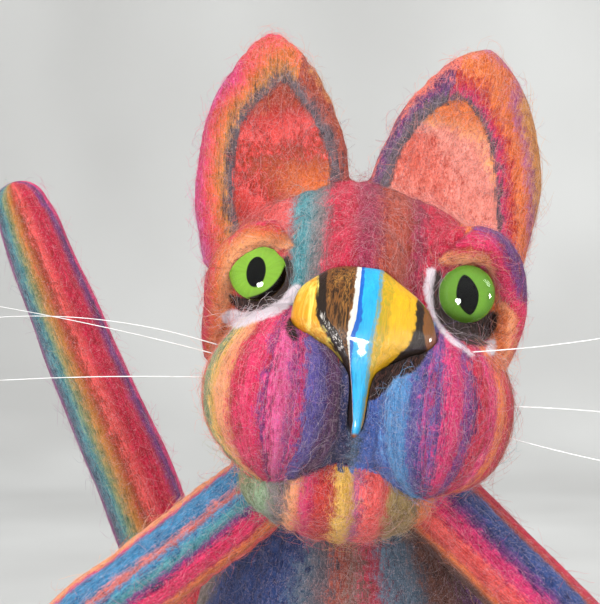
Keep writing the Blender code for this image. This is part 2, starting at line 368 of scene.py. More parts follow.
@dataclass
class Along:
    """Where points lie beside a limb: gap to its skin, length along it, offset from it, its direction."""

    gap: np.ndarray
    length: np.ndarray
    offset: np.ndarray
    tangent: np.ndarray

    def angle(self, facing: Point, turn: int) -> np.ndarray:
        """Measure the angle round the limb.

        Args:
            facing: The direction that lies at 90 degrees.
            turn: 1 or -1, for the side that lies at 0 degrees.

        Returns:
            The angle in degrees, from -180 to 180.
        """
        front = unit(np.array(facing) - self.tangent * (self.tangent @ np.array(facing))[:, None])
        side = turn * np.cross(self.tangent, front)
        across = np.einsum("ij,ij->i", self.offset, side)
        forward = np.einsum("ij,ij->i", self.offset, front)
        return np.degrees(np.arctan2(forward, across))


@dataclass(frozen=True)
class Limb:
    """A long form of felt: points along its middle, its thickness at each, its depth as a share of it."""

    path: tuple[Point, ...]
    thickness: tuple[float, ...]
    depth: float = 1.0

    def rows(self, base: Matrix, way: int = 1) -> tuple[np.ndarray, np.ndarray]:
        """Give the points of the limb's smooth middle line and the radius at each."""
        made = smooth_path([(*point, wide) for point, wide in zip(self.path, self.thickness)], 6)
        return moved(made[:, :3] * (way, 1, 1), base), 0.5 * made[:, 3]

    def build(self, base: Matrix, way: int = 1) -> bpy.types.Object:
        """Model the limb as a swept curve with a ball at each end."""
        points, radii = self.rows(base, way)
        points[:, 1] /= self.depth
        tube = sweep("limb", points, radii, 9)
        parts = [tube]
        for index in (0, -1):
            bpy.ops.mesh.primitive_ico_sphere_add(subdivisions=4, radius=radii[index],
                                                  location=points[index])
            parts.append(bpy.context.object)
        limb = join(parts, "limb")
        limb.scale.y = self.depth
        return limb

    def measure(self, points: np.ndarray, base: Matrix, way: int = 1) -> Along:
        """Find where points lie beside the limb.

        Args:
            points: One row for each point.
            base: The frame that the limb's path is given in.
            way: The sign of the side that the limb is on.

        Returns:
            The places beside the limb.
        """
        path, radii = self.rows(base, way)
        squash = np.array((1.0, 1.0 / self.depth, 1.0))
        found = Along(np.full(len(points), 1e3), np.zeros(len(points)), np.zeros_like(points),
                      np.zeros_like(points))
        run = 0.0
        for start, end, thin, thick in zip(path, path[1:], radii, radii[1:]):
            stretch = end - start
            length = float(np.linalg.norm(stretch))
            share = np.clip((points - start) @ stretch / length ** 2, 0.0, 1.0)
            offset = (points - start - share[:, None] * stretch) * squash
            gap = np.linalg.norm(offset, axis=1) - (thin + (thick - thin) * share)
            nearer = gap < found.gap
            found.gap[nearer] = gap[nearer]
            found.length[nearer] = run + share[nearer] * length
            found.offset[nearer] = offset[nearer]
            found.tangent[nearer] = stretch / length
            run += length
        return found


def sweep(name: str, points: np.ndarray, radii: np.ndarray, roundness: int) -> bpy.types.Object:
    """Sweep a circle along a line, as a closed mesh.

    Args:
        name: The name of the object.
        points: The line's points.
        radii: The circle's radius at each point.
        roundness: The resolution of the bevel round the curve.

    Returns:
        The swept tube.
    """
    curve = bpy.data.curves.new(name, "CURVE")
    curve.dimensions = "3D"
    curve.bevel_depth = 1.0
    curve.bevel_resolution = roundness
    curve.use_fill_caps = True
    spline = curve.splines.new("POLY")
    spline.points.add(len(points) - 1)
    for point, place, radius in zip(spline.points, points, radii):
        point.co = (*place, 1.0)
        point.radius = radius
    choose([show(name, curve)])
    bpy.ops.object.convert(target="MESH")
    return bpy.context.object


def reshaped_sphere(name: str, rings: int, shape: Callable[[np.ndarray], np.ndarray]) -> bpy.types.Object:
    """Model a round primitive and move its points by a rule.

    Args:
        name: The name of the object.
        rings: How many rings and segments the primitive has.
        shape: The rule, from the unit sphere's points to the finished points.

    Returns:
        The finished object.
    """
    bpy.ops.mesh.primitive_uv_sphere_add(segments=rings, ring_count=rings, radius=1.0)
    thing = bpy.context.object
    thing.name = name
    thing.data.name = name
    write_points(thing, shape(read_points(thing)))
    edit(thing, bpy.ops.mesh.normals_make_consistent, inside=False)
    bpy.ops.object.shade_smooth()
    return thing


@dataclass(frozen=True)
class Ear:
    """A pointed ear, hollow in front. Widest is a share of its height, and foot and swell share its width."""

    height: float = 0.0610
    width: float = 0.0425
    depth: float = 0.0190
    hollow: float = 0.0070
    widest: float = 0.30
    foot: float = 0.90
    swell: float = 0.10
    tip_fullness: float = 2.3
    tip_roundness: float = 0.72
    thinning: float = 0.30
    hollow_width: float = 0.80
    place: Point = (0.0212, 0.0240, 0.0020)
    lean: float = math.radians(7.5)
    turn: float = math.radians(12.0)

    def frame(self, base: Matrix, way: int) -> Matrix:
        """Give the place of the ear's foot, with Z up the ear and -Y out of its hollow."""
        return (base @ Matrix.Translation(mirrored(self.place, way))
                @ Matrix.Rotation(self.lean * way, 4, "Y") @ Matrix.Rotation(self.turn * way, 4, "Z"))

    def half_width(self, share: np.ndarray) -> np.ndarray:
        """Give the ear's half-width at shares of its height."""
        low = self.foot + self.swell * np.sin(0.5 * math.pi * np.clip(share / self.widest, 0.0, 1.0))
        rise = np.clip((share - self.widest) / (1.0 - self.widest), 0.0, 1.0)
        tip = (1.0 - rise ** self.tip_fullness) ** self.tip_roundness
        return 0.5 * self.width * np.where(rise > 0.0, tip, low)

    def half_depth(self, share: np.ndarray, half: np.ndarray) -> np.ndarray:
        """Give the ear's half-depth where it has a half-width."""
        return 0.5 * self.depth * (1.0 - self.thinning * share) * np.sqrt(half / (0.5 * self.width))

    def section(self, share: np.ndarray, angle: np.ndarray) -> np.ndarray:
        """Give points of the ear's skin.

        Args:
            share: The height of each point, as a share of the ear's.
            angle: The angle of each point round the ear.

        Returns:
            One row for each point, in the ear's own frame.
        """
        half = self.half_width(share)
        fullness = half / (0.5 * self.width)
        x = half * np.cos(angle)
        y = self.half_depth(share, half) * np.sin(angle)
        across = x / np.maximum(self.hollow_width * half, 1e-9)
        dip = self.hollow * fullness * (1.0 - share ** 3) * np.maximum(1.0 - across * across, 0.0)
        return np.stack([x, y + np.where(y < 0.0, dip, 0.0), share * self.height], axis=1)

    def build(self, base: Matrix, way: int) -> bpy.types.Object:
        """Model the ear from a round primitive that is drawn up to the ear's sections."""

        def shape(ball: np.ndarray) -> np.ndarray:
            """Draw the unit sphere's points up into the ear."""
            spread = np.hypot(ball[:, 0], ball[:, 1])
            skin = self.section(0.5 * (1.0 + ball[:, 2]), np.arctan2(ball[:, 1], ball[:, 0]))
            skin[:, :2] *= (spread > 1e-4)[:, None]
            return moved(skin, self.frame(base, way))

        return reshaped_sphere("ear", 96, shape)

    def gap(self, points: np.ndarray, base: Matrix, way: int) -> np.ndarray:
        """Measure roughly how far points lie outside the ear."""
        x, y, height = moved(points, self.frame(base, way).inverted()).T
        share = np.clip(height / self.height, 0.0, 0.98)
        half = self.half_width(share)
        reach = np.maximum(np.hypot(x / half, y / self.half_depth(share, half)), 1e-6)
        return np.maximum(np.hypot(x, y) * (1.0 - 1.0 / reach), -height)


@dataclass(frozen=True)
class Patch:
    """A low tuft of wool laid on the face along a line: places across and up the face, with its radius."""

    line: tuple[Point, ...]
    back: float = 0.020

    def depth(self, places: np.ndarray) -> np.ndarray:
        """Measure how far places of the head's frame lie inside the patch, in metres."""
        rows = smooth_path(self.line, 4)
        found = np.full(len(places), -1.0)
        flat = places[:, (0, 2)]
        for start, end in zip(rows, rows[1:]):
            stretch = end[:2] - start[:2]
            share = np.clip((flat - start[:2]) @ stretch / max(stretch @ stretch, 1e-12), 0.0, 1.0)
            away = np.linalg.norm(flat - start[:2] - share[:, None] * stretch, axis=1)
            found = np.maximum(found, start[2] + (end[2] - start[2]) * share - away)
        return np.minimum(found, self.back - places[:, 1])


@dataclass(frozen=True)
class Head:
    """The head's forms, from the point midway between the eyes: x to the side, y back, z up."""

    height: float = 0.165
    forward: float = 0.053
    lean: float = math.radians(6.0)
    skull: Ball = Ball((0.0, 0.0270, -0.0055), (0.0385, 0.0365, 0.0315))
    bridge: Ball = Ball((0.0, 0.0040, -0.0010), (0.0135, 0.0175, 0.0170))
    muzzle: Ball = Ball((0.0018, -0.0010, -0.0270), (0.0180, 0.0190, 0.0195))
    chin: Ball = Ball((-0.0010, 0.0050, -0.0495), (0.0240, 0.0195, 0.0135))
    jaw: Ball = Ball((0.0, 0.0220, -0.0360), (0.0310, 0.0270, 0.0240))
    pad_size: Point = (0.0194, 0.0200, 0.0208)
    pad_place: Point = (0.0178, -0.0045, -0.0285)
    muzzle_shift: float = 0.0018
    ears: tuple[Ear, Ear] = (Ear(0.0592, 0.0395, place=(0.0227, 0.0240, 0.0020), lean=math.radians(5.4)),
                             Ear(0.0610, 0.0445, place=(0.0187, 0.0240, 0.0020)))
    lids: tuple[Limb, Limb] = (
        Limb(((-0.0345, 0.0150, -0.0210), (-0.0350, 0.0100, -0.0150), (-0.0350, 0.0060, -0.0077),
              (-0.0342, 0.0035, -0.0008), (-0.0297, 0.0012, 0.0064), (-0.0230, -0.0002, 0.0098),
              (-0.0172, 0.0012, 0.0084)),
             (0.0050, 0.0060, 0.0066, 0.0070, 0.0072, 0.0072, 0.0056)),
        Limb(((0.0165, 0.0018, 0.0080), (0.0212, -0.0002, 0.0112), (0.0292, 0.0014, 0.0116),
              (0.0348, 0.0048, 0.0066), (0.0370, 0.0080, -0.0026), (0.0360, 0.0095, -0.0115),
              (0.0340, 0.0125, -0.0190)),
             (0.0060, 0.0088, 0.0092, 0.0084, 0.0078, 0.0070, 0.0060)))

    @property
    def frame(self) -> Matrix:
        """The head's place: midway between the eyes, leaning to the side of +X."""
        place = Matrix.Translation((0.0, -self.forward, self.height))
        return place @ Matrix.Rotation(self.lean, 4, "Y")

    def pad(self, way: int) -> Ball:
        """Give one cheek pad, which is already on its own side."""
        x, y, z = self.pad_place
        return Ball((self.muzzle_shift + x * way, y, z), self.pad_size)

    def ear(self, way: int) -> Ear:
        """Give one ear."""
        return self.ears[way > 0]

    def build(self) -> list[bpy.types.Object]:
        """Model every form of the head."""
        base = self.frame
        parts = [ball.build(base) for ball in (self.skull, self.bridge, self.muzzle, self.chin, self.jaw)]
        for way, lid in zip((-1, 1), self.lids):
            parts += [self.pad(way).build(base), lid.build(base), self.ear(way).build(base, way)]
        return parts


@dataclass(frozen=True)
class Figure:
    """The forms below the head, from the middle of the seat."""

    torso: Limb = Limb(((0.0, -0.0180, 0.1200), (0.0, -0.0090, 0.1040), (0.0, -0.0020, 0.0860),
                        (0.0, 0.0, 0.0650), (0.0, 0.0, 0.0370)),
                       (0.0440, 0.0660, 0.0820, 0.0900, 0.0920), 0.84)
    thigh: Ball = Ball((0.0410, -0.0170, 0.0290), (0.0200, 0.0360, 0.0290), math.radians(-10.0))
    shin: Limb = Limb(((0.041, -0.031, 0.017), (0.045, -0.051, 0.0105), (0.047, -0.070, 0.0105)),
                      (0.0230, 0.0230, 0.0230))
    arm_left: Limb = Limb(((-0.012, -0.025, 0.122), (-0.026, -0.033, 0.1125), (-0.0475, -0.036, 0.096),
                           (-0.069, -0.037, 0.0795), (-0.086, -0.039, 0.059), (-0.094, -0.044, 0.034),
                           (-0.096, -0.051, 0.0115), (-0.096, -0.062, 0.0105)),
                          (0.0189, 0.0205, 0.0205, 0.0205, 0.0205, 0.0205, 0.0250, 0.0250))
    arm_right: Limb = Limb(((0.010, -0.025, 0.119), (0.0215, -0.034, 0.1085), (0.040, -0.039, 0.0905),
                            (0.060, -0.044, 0.071), (0.076, -0.048, 0.051), (0.085, -0.053, 0.030),
                            (0.088, -0.058, 0.0115), (0.088, -0.069, 0.0105)),
                           (0.0189, 0.0205, 0.0205, 0.0205, 0.0205, 0.0205, 0.0250, 0.0250))
    tail: Limb = Limb(((-0.008, 0.027, 0.026), (-0.022, 0.057, 0.022), (-0.040, 0.075, 0.040),
                       (-0.0525, 0.079, 0.070), (-0.066, 0.079, 0.105), (-0.0835, 0.078, 0.146),
                       (-0.097, 0.076, 0.180), (-0.101, 0.075, 0.190)),
                      (0.0290, 0.0287, 0.0279, 0.0266, 0.0248, 0.0224, 0.0194, 0.0160))

    def build(self) -> list[bpy.types.Object]:
        """Model every form of the body, the limbs and the tail."""
        base = Matrix.Identity(4)
        parts = [limb.build(base) for limb in (self.torso, self.arm_left, self.arm_right, self.tail)]
        for way in (-1, 1):
            parts += [self.thigh.build(base, way), self.shin.build(base, way)]
        return parts


D = Dye

FACE = Stripes(-70, (
    (D.MAGENTA, -62), (D.ORANGE, -55), (D.TEAL, -50), (D.PURPLE, -45), (D.CORAL, -39), (D.SAGE, -36.5),
    (D.ORANGE, -31), (D.RED, -24.5), (D.CORAL, -18.5), (D.TEAL, -13.5), (D.GREY, -10), (D.CRIMSON, -3),
    (D.BERRY, 3), (D.RUST, 10.5), (D.BERRY, 14), (D.CRIMSON, 23)), 1.2)
# The plum and navy in the middle of the muzzle are partly dark wool and partly painted shade in the cleft
# between the pads under the nose.
MUZZLE = Stripes(-18, (
    (D.CRIMSON, -12), (D.PLUM, -5), (D.NAVY, 0.6), (D.STEEL, 2.4), (D.BLUE, 12), (D.SKY, 20)), 1.0)
CHEEK = Stripes(23, (
    (D.ORANGE, 28), (D.MAGENTA, 34), (D.RUST, 37), (D.OCHRE, 41), (D.OLIVE, 45), (D.PURPLE, 50),
    (D.TEAL, 55), (D.CORAL, 62), (D.MAGENTA, 70)), 1.6)
# The plum and navy on the left pad's inner side, and the navy on the right pad's inner side, face the cleft.
# They are partly dark wool and partly painted shade between the pads.
PAD_LEFT = Stripes(-180, (
    (D.PURPLE, -130), (D.CORAL, -104), (D.SALMON, -78), (D.SAGE, -65), (D.GOLD, -57), (D.PEACH, -42),
    (D.CRIMSON, -33), (D.ROSE, -15.5), (D.PURPLE, -11), (D.MAGENTA, -7), (D.PINK, 4.5), (D.PURPLE, 8.5),
    (D.MAGENTA, 14), (D.VIOLET, 30), (D.PLUM, 50), (D.NAVY, 180)), 1.5)
PAD_RIGHT = Stripes(-180, (
    (D.NAVY, -57), (D.BLUE, -40), (D.SKY, -22), (D.VIOLET, -9), (D.MAGENTA, -6), (D.VIOLET, 1),
    (D.MAGENTA, 16.5), (D.PURPLE, 26), (D.CRIMSON, 38), (D.MAGENTA, 47), (D.ORANGE, 58), (D.CRIMSON, 72),
    (D.RUST, 88), (D.TEAL, 112), (D.CORAL, 150), (D.PURPLE, 180)), 1.5)
CHIN = Stripes(-40, (
    (D.PURPLE, -30), (D.SAGE, -21), (D.PALE_GREEN, -17), (D.GREY, -13), (D.PEACH, -9.8), (D.MAGENTA, -7),
    (D.RED, -2), (D.GOLD, 2.8), (D.MAUVE, 4.2), (D.CORAL, 10.4), (D.OLIVE, 18.5), (D.ORANGE, 26),
    (D.MAGENTA, 40)), 1.0)
ARM_LEFT = Stripes(-180, (
    (D.CORAL, -150), (D.MAGENTA, -120), (D.TEAL, -90), (D.GOLD, -50), (D.ORANGE, -20), (D.PEACH, 20),
    (D.MAGENTA, 25), (D.AZURE, 62), (D.SALMON, 70), (D.AZURE, 82), (D.TEAL, 96), (D.PURPLE, 104),
    (D.ROSE, 136), (D.ORANGE, 158), (D.CORAL, 180)), 5.0)
ARM_RIGHT = Stripes(-180, (
    (D.PEACH, -150), (D.TEAL, -110), (D.GOLD, -70), (D.MAGENTA, -40), (D.RUST, -10), (D.CRIMSON, 26),
    (D.RUST, 34), (D.INDIGO, 66), (D.PURPLE, 80), (D.MAGENTA, 102), (D.CORAL, 134), (D.ORANGE, 148),
    (D.BROWN, 180)), 5.0)
TORSO = Stripes(-180, (
    (D.PURPLE, -150), (D.TEAL, -112), (D.CORAL, -92), (D.GOLD, -76), (D.MAGENTA, -52),
    (D.NAVY, -20), (D.TAUPE, 20), (D.INDIGO, 62), (D.STEEL, 68), (D.SLATE, 80), (D.RUST, 83), (D.TAUPE, 92),
    (D.CRIMSON, 97), (D.STEEL, 116), (D.BROWN, 136), (D.PURPLE, 180)), 4.0)
LEG = Stripes(-180, (
    (D.MAGENTA, -120), (D.ORANGE, -80), (D.TEAL, -40), (D.BLUE, -12), (D.PURPLE, 10), (D.HOT_PINK, 45),
    (D.SALMON, 60), (D.GOLD, 78), (D.SKY, 108), (D.TEAL, 128), (D.CRIMSON, 150), (D.MAGENTA, 180)), 5.0)
TAIL = Stripes(-180, (
    (D.MAGENTA, -140), (D.PURPLE, -110), (D.BLUE, -80), (D.TEAL, -50), (D.MAUVE, 22), (D.STEEL, 44),
    (D.TEAL, 54), (D.SAGE, 68), (D.OCHRE, 84), (D.RUST, 94), (D.CORAL, 110), (D.CRIMSON, 146),
    (D.PURPLE, 166), (D.MAGENTA, 180)), 8.0)
EAR_LEFT = Stripes(0, (
    (D.SLATE, 2.8), (D.OCHRE, 3.6), (D.ORANGE, 5.8), (D.CORAL, 7.4), (D.MAGENTA, 10.4), (D.LILAC, 14.0),
    (D.PURPLE, 19), (D.CORAL, 24), (D.TEAL, 28), (D.MAGENTA, 34), (D.ORANGE, 40)), 1.2)
EAR_RIGHT = Stripes(0, (
    (D.SLATE, 1.2), (D.MAGENTA, 2.8), (D.RED, 4.4), (D.ORANGE, 8.2), (D.MAUVE, 9.2), (D.OCHRE, 14.0),
    (D.PURPLE, 18), (D.SAGE, 23), (D.CORAL, 29), (D.BLUE, 34), (D.MAGENTA, 40)), 0.9)
EAR_TOP = Stripes(0, (
    (D.SLATE, 3.0), (D.RUST, 6.5), (D.OCHRE, 8.0), (D.RUST, 10.5), (D.OLIVE, 13.0), (D.PURPLE, 19),
    (D.CORAL, 24), (D.TEAL, 28), (D.MAGENTA, 34), (D.ORANGE, 40)), 0.9)
EAR_NEAR = Stripes(0, (
    (D.SLATE, 2.8), (D.PURPLE, 4.8), (D.SALMON, 7.4), (D.ORANGE, 9.0), (D.MAGENTA, 14.0), (D.PURPLE, 19),
    (D.SAGE, 23), (D.CORAL, 29), (D.BLUE, 34), (D.MAGENTA, 40)), 0.9)
INNER_LEFT = Stripes(-1, ((D.ORANGE, -0.55), (D.RUST, -0.2), (D.RED, 0.1), (D.CORAL, 0.4), (D.RED, 0.8),
                          (D.RUST, 1.3)), 0.2)
INNER_RIGHT = Stripes(-1, ((D.SALMON, -0.5), (D.PALE_PINK, 0.7), (D.PEACH, 0.95), (D.ORANGE, 1.3)), 0.25)
LID_LEFT = Stripes(0, ((D.PEACH, 8.8), (D.ORANGE, 10.4), (D.CRIMSON, 14)), 1.2)
LID_RIGHT = Stripes(0, (
    (D.ORANGE, 7.8), (D.PEACH, 9.8), (D.CRIMSON, 11.2), (D.ROSE, 15.2), (D.PURPLE, 20)), 1.2)
LINER = Stripes(-1, ((D.BLACK, 0.5), (D.BROWN, 1)), 0.6)
TUFT = Stripes(-1, ((D.WHITE, 0.5), (D.MIST, 1)), 0.6)

LINERS = (
    Patch(((-0.0314, -0.0066, 0.0006), (-0.0293, -0.0078, 0.0015), (-0.0270, -0.0080, 0.0018),
           (-0.0244, -0.0073, 0.0018), (-0.0225, -0.0060, 0.0020), (-0.0207, -0.0042, 0.0023),
           (-0.0193, -0.0016, 0.0023), (-0.0187, 0.0014, 0.0018), (-0.0187, 0.0040, 0.0006))),
    Patch(((0.0176, 0.0046, 0.0006), (0.0186, -0.0010, 0.0018), (0.0206, -0.0060, 0.0022),
           (0.0246, -0.0088, 0.0026), (0.0288, -0.0092, 0.0028), (0.0312, -0.0070, 0.0026),
           (0.0326, -0.0046, 0.0014))),
    # The last two patches lay dark wool along the lower edges of the nose.
    Patch(((-0.0163, -0.0108, 0.0007), (-0.0159, -0.0124, 0.0012), (-0.0148, -0.0144, 0.0008))),
    Patch(((0.0150, -0.0129, 0.0018), (0.0118, -0.0170, 0.0026), (0.0080, -0.0192, 0.0022),
           (0.0054, -0.0228, 0.0024), (0.0042, -0.0256, 0.0014))),
)
TUFTS = (
    Patch(((-0.0316, -0.0118, 0.0014), (-0.0302, -0.0117, 0.0022), (-0.0281, -0.0117, 0.0018),
           (-0.0253, -0.0107, 0.0014), (-0.0232, -0.0098, 0.0014), (-0.0206, -0.0080, 0.0020),
           (-0.0185, -0.0063, 0.0020), (-0.0168, -0.0046, 0.0017), (-0.0155, -0.0031, 0.0011))),
    Patch(((0.0160, 0.0040, 0.0013), (0.0161, -0.0010, 0.0015), (0.0176, -0.0058, 0.0008),
           (0.0206, -0.0104, 0.0007), (0.0262, -0.0140, 0.0005))),
    Patch(((0.0312, -0.0126, 0.0013), (0.0330, -0.0116, 0.0013))),
)
INNER_EARS = {
    "left": ((-0.0302, 0.0070), (-0.0330, 0.0150), (-0.0345, 0.0248), (-0.0334, 0.0372), (-0.0272, 0.0458),
             (-0.0236, 0.0478), (-0.0165, 0.0400), (-0.0119, 0.0323), (-0.0103, 0.0249), (-0.0100, 0.0100)),
    "right": ((0.0020, 0.0120), (0.0014, 0.0185), (0.0044, 0.0239), (0.0068, 0.0340), (0.0128, 0.0436),
              (0.0190, 0.0482), (0.0238, 0.0466), (0.0291, 0.0383), (0.0313, 0.0290), (0.0327, 0.0200),
              (0.0344, 0.0080)),
}


@dataclass
class Layer:
    """One region of the wool: its rovings, where each point lies across them and how far in it lies."""

    name: str
    stripes: Stripes
    place: np.ndarray
    inside: np.ndarray
    round: bool = False

    def table(self) -> np.ndarray:
        """Give the numbers that the wool's material reads, one row for each point."""
        if self.round:
            angle = np.radians(self.place)
            return np.stack([np.cos(angle), np.sin(angle), self.inside / MM], axis=1)
        return np.stack([self.place, np.zeros(len(self.place)), self.inside / MM], axis=1)

    def paint(self, under: np.ndarray) -> np.ndarray:
        """Lay the region's plain colours over the colours that lie under it."""
        share = ease(self.inside, -0.3 * MM, 0.3 * MM)[:, None]
        return under + (self.stripes.look_up(self.place) - under) * share

    def grooves(self, wide: float) -> np.ndarray:
        """Find how near each point is to an edge between two rovings, from 0 to 1."""
        deep = np.zeros(len(self.place))
        for _, edge in self.stripes.bands[:-1]:
            deep = np.maximum(deep, np.exp(-((self.place - edge) / wide) ** 2))
        return deep * ease(self.inside, 0.0, 0.8 * MM)


Region = tuple[str, Stripes, np.ndarray, np.ndarray, bool, np.ndarray]


def outline_gap(points: np.ndarray, outline: Sequence[Sequence[float]]) -> np.ndarray:
    """Measure how far flat points lie outside a closed outline, less than 0 inside it.

    Args:
        points: One row of two numbers for each point.
        outline: The outline's points in order.

    Returns:
        The distance of each point.
    """
    rows = np.vstack([outline, outline[0]])
    away = np.full(len(points), 1e3)
    within = np.zeros(len(points), dtype=bool)
    for start, end in zip(rows, rows[1:]):
        stretch = end - start
        share = np.clip((points - start) @ stretch / max(stretch @ stretch, 1e-15), 0.0, 1.0)
        away = np.minimum(away, np.linalg.norm(points - start - share[:, None] * stretch, axis=1))
        crosses = (start[1] > points[:, 1]) != (end[1] > points[:, 1])
        rise = np.where(stretch[1] == 0.0, 1e-12, stretch[1])
        within ^= crosses & (points[:, 0] < start[0] + (points[:, 1] - start[1]) * stretch[0] / rise)
    return np.where(within, -away, away)


@dataclass(frozen=True)
class Dressing:
    """How the dyed rovings are laid over the head, the limbs and the face.

    The face's and the ears' measures are in millimetres, as their rovings are. The rest is in metres.
    """

    head: Head
    figure: Figure
    face_split: float = 23.0
    side_start: float = 22.0
    side_end: float = 38.0
    side_share: float = 0.6
    side_back: float = 5.0
    head_radius: float = 33.0
    depth: float = 0.005
    ear_wrap: float = 2.5
    ear_slant: float = 0.25
    ear_middle: float = 0.030
    ear_split: tuple[float, float] = (-0.0262, 0.0125)
    tip: tuple[float, float] = (45.0, 56.0)
    tip_share: float = 0.42
    pale_tip: tuple[float, float] = (0.037, 0.045)
    pale_place: float = 1.2
    mottle: tuple[float, float, float, float] = (0.045, 0.45, 0.20, 0.1)
    matted: tuple[float, float, float] = (0.6, 0.6, 2.6)
    eye_side: float = 0.0253
    lid_reach: float = 0.0005
    lid_end: float = 0.0092
    lid_bend: float = 0.0060
    lid_slope: float = 0.9
    lid_side: tuple[float, float] = (0.0066, 0.0150)
    lid_drop: float = 0.0170
    lid_shift: float = 3.5
    lid_under: tuple[float, float] = (-0.004, 0.004)
    lid_outer: tuple[float, float] = (0.004, 0.009)
    lid_outer_height: tuple[float, float] = (-0.005, 0.001)
    lid_inner_shift: float = 3.0
    lid_inner: tuple[float, float] = (0.003, 0.008)
    muzzle_top: float = -0.0150
    muzzle_reach: float = 0.0015

    def layers(self, points: np.ndarray) -> tuple[list[Layer], np.ndarray]:
        """Lay every region of rovings.

        Args:
            points: The wool's points.

        Returns:
            The layers from the lowest to the topmost, and for each point a place in straightened wool:
            two numbers across the fibres and one along them, in millimetres.
        """
        local = moved(points, self.head.frame.inverted())
        made, grain, done = self.face(local, points)
        for name, stripes, inside, place, is_round, own in self.regions(points, local, done):
            made.append(Layer(name, stripes, place, inside, is_round))
            grain = np.where((inside > 0.0)[:, None], own, grain)
        made += self.patches(local)
        return made, grain

    def face(self, local: np.ndarray, points: np.ndarray) -> tuple[list[Layer], np.ndarray, np.ndarray]:
        """Lay the rovings that run up the face and over the head.

        Args:
            local: The points in the head's frame.
            points: The points in the cat's frame.

        Returns:
            The layers, the straightened places and how far each point lies outside the head.
        """
        head = self.head
        x, y, z = local.T / MM
        side = ease(np.abs(x), self.side_start, self.side_end)
        place = x + np.sign(x) * side * (y - self.side_back) * self.side_share
        deep, high = y - head.skull.middle[1] / MM, z - head.skull.middle[2] / MM
        grain = np.stack([x, np.hypot(deep, high), self.head_radius * np.arctan2(high, -deep)], axis=1)
        balls = (head.skull, head.bridge, head.muzzle, head.jaw)
        done = np.min([ball.gap(points, head.frame) for ball in balls], axis=0)
        far = np.full(len(points), self.depth)
        return [Layer("face", FACE, place, far),
                Layer("cheek", CHEEK, place, (place - self.face_split) * MM)], grain, done

    def regions(self, points: np.ndarray, local: np.ndarray, done: np.ndarray) -> Iterator[Region]:
        """Lay the regions that stand on forms of their own, one after another.

        Args:
            points: The points in the cat's frame.
            local: The points in the head's frame.
            done: How far each point lies outside the forms that are dressed already.

        Yields:
            Name, rovings, how far in each point lies, its place across them, whether that place is an
            angle, and its place in straightened wool.
        """
        head, figure, base = self.head, self.figure, Matrix.Identity(4)
        front, up = (0, -1, 0), (0, 0, 1)
        for name, stripes, limb, facing, turn, way in (
                ("torso", TORSO, figure.torso, front, 1, 1), ("tail", TAIL, figure.tail, front, -1, 1),
                ("leg_left", LEG, figure.shin, up, -1, -1), ("leg_right", LEG, figure.shin, up, 1, 1),
                ("arm_left", ARM_LEFT, figure.arm_left, front, 1, 1),
                ("arm_right", ARM_RIGHT, figure.arm_right, front, -1, 1)):
            beside = limb.measure(points, base, way)
            gap = beside.gap
            if stripes is LEG:
                gap = np.minimum(gap, figure.thigh.gap(points, base, way))
            angle = beside.angle(facing, turn)
            reach = np.linalg.norm(beside.offset, axis=1) / MM
            own = np.stack([reach * np.cos(np.radians(angle)), reach * np.sin(np.radians(angle)),
                            beside.length / MM], axis=1)
            yield name, stripes, done - gap, angle, True, own
            done = np.minimum(done, gap)
        gap = head.chin.gap(points, head.frame)
        yield "chin", CHIN, done - gap, local[:, 0] / MM, False, local / MM
        done = np.minimum(done, gap)
        below = self.muzzle_top - local[:, 2]
        inside = np.minimum(self.muzzle_reach - head.muzzle.gap(points, head.frame), below)
        yield "muzzle", MUZZLE, np.minimum(inside, gap), local[:, 0] / MM, False, local / MM
        for way, name, stripes in ((-1, "pad_left", PAD_LEFT), (1, "pad_right", PAD_RIGHT)):
            pad = head.pad(way)
            px, py, pz = pad.local(points, head.frame).T
            lon, lat = np.arctan2(px, -py), np.arctan2(pz, np.hypot(px, py))
            gap = pad.gap(points, head.frame)
            own = np.stack([np.sin(lon), np.cos(lon), lat], axis=1) * pad.half_sizes[0] / MM
            yield name, stripes, done - gap, np.degrees(lon), True, own
            done = np.minimum(done, gap)
        yield from self.ears(points, local, done)
        yield from self.lids(points, local)

    def ears(self, points: np.ndarray, local: np.ndarray, done: np.ndarray) -> Iterator[Region]:
        """Lay the rovings that run up each ear beside its hollow, and the wool in the hollow."""
        dress = ((EAR_TOP, EAR_LEFT, INNER_LEFT), (EAR_RIGHT, EAR_NEAR, INNER_RIGHT))
        across, height, waves, drift = self.mottle
        for (name, way), (under, over, inner), split in zip(SIDES.items(), dress, self.ear_split):
            ear = self.head.ear(way)
            own = moved(points, ear.frame(self.head.frame, way).inverted()) / MM
            gap = ear.gap(points, self.head.frame, way)
            arch = outline_gap(local[:, (0, 2)], smooth_path(INNER_EARS[name], 4)) / MM
            place = np.where(own[:, 1] > 0.0, np.abs(arch) + self.ear_wrap * own[:, 1], np.maximum(arch, 0.0))
            place = place * (1.0 - self.tip_share * ease(own[:, 2], *self.tip))
            inside = np.minimum(done - gap, way * local[:, 0])
            slant = self.ear_slant * (local[:, 2] - self.ear_middle)
            beside = np.minimum(inside, -1.0 * (local[:, 0] - split - slant))
            yield f"ear_{name}", under, inside, place, False, own
            yield f"ear_{name}_side", over, beside, place, False, own
            mottle = own[:, 0] * across * way + height * np.sin(own[:, 2] * waves + own[:, 0] * drift)
            pale = ease(local[:, 2], *self.pale_tip)
            mottle = mottle * (1.0 - pale) + self.pale_place * pale
            hollow = np.minimum(inside, np.minimum(-arch, -own[:, 1]) * MM)
            yield f"inner_ear_{name}", inner, hollow, mottle, False, own * self.matted

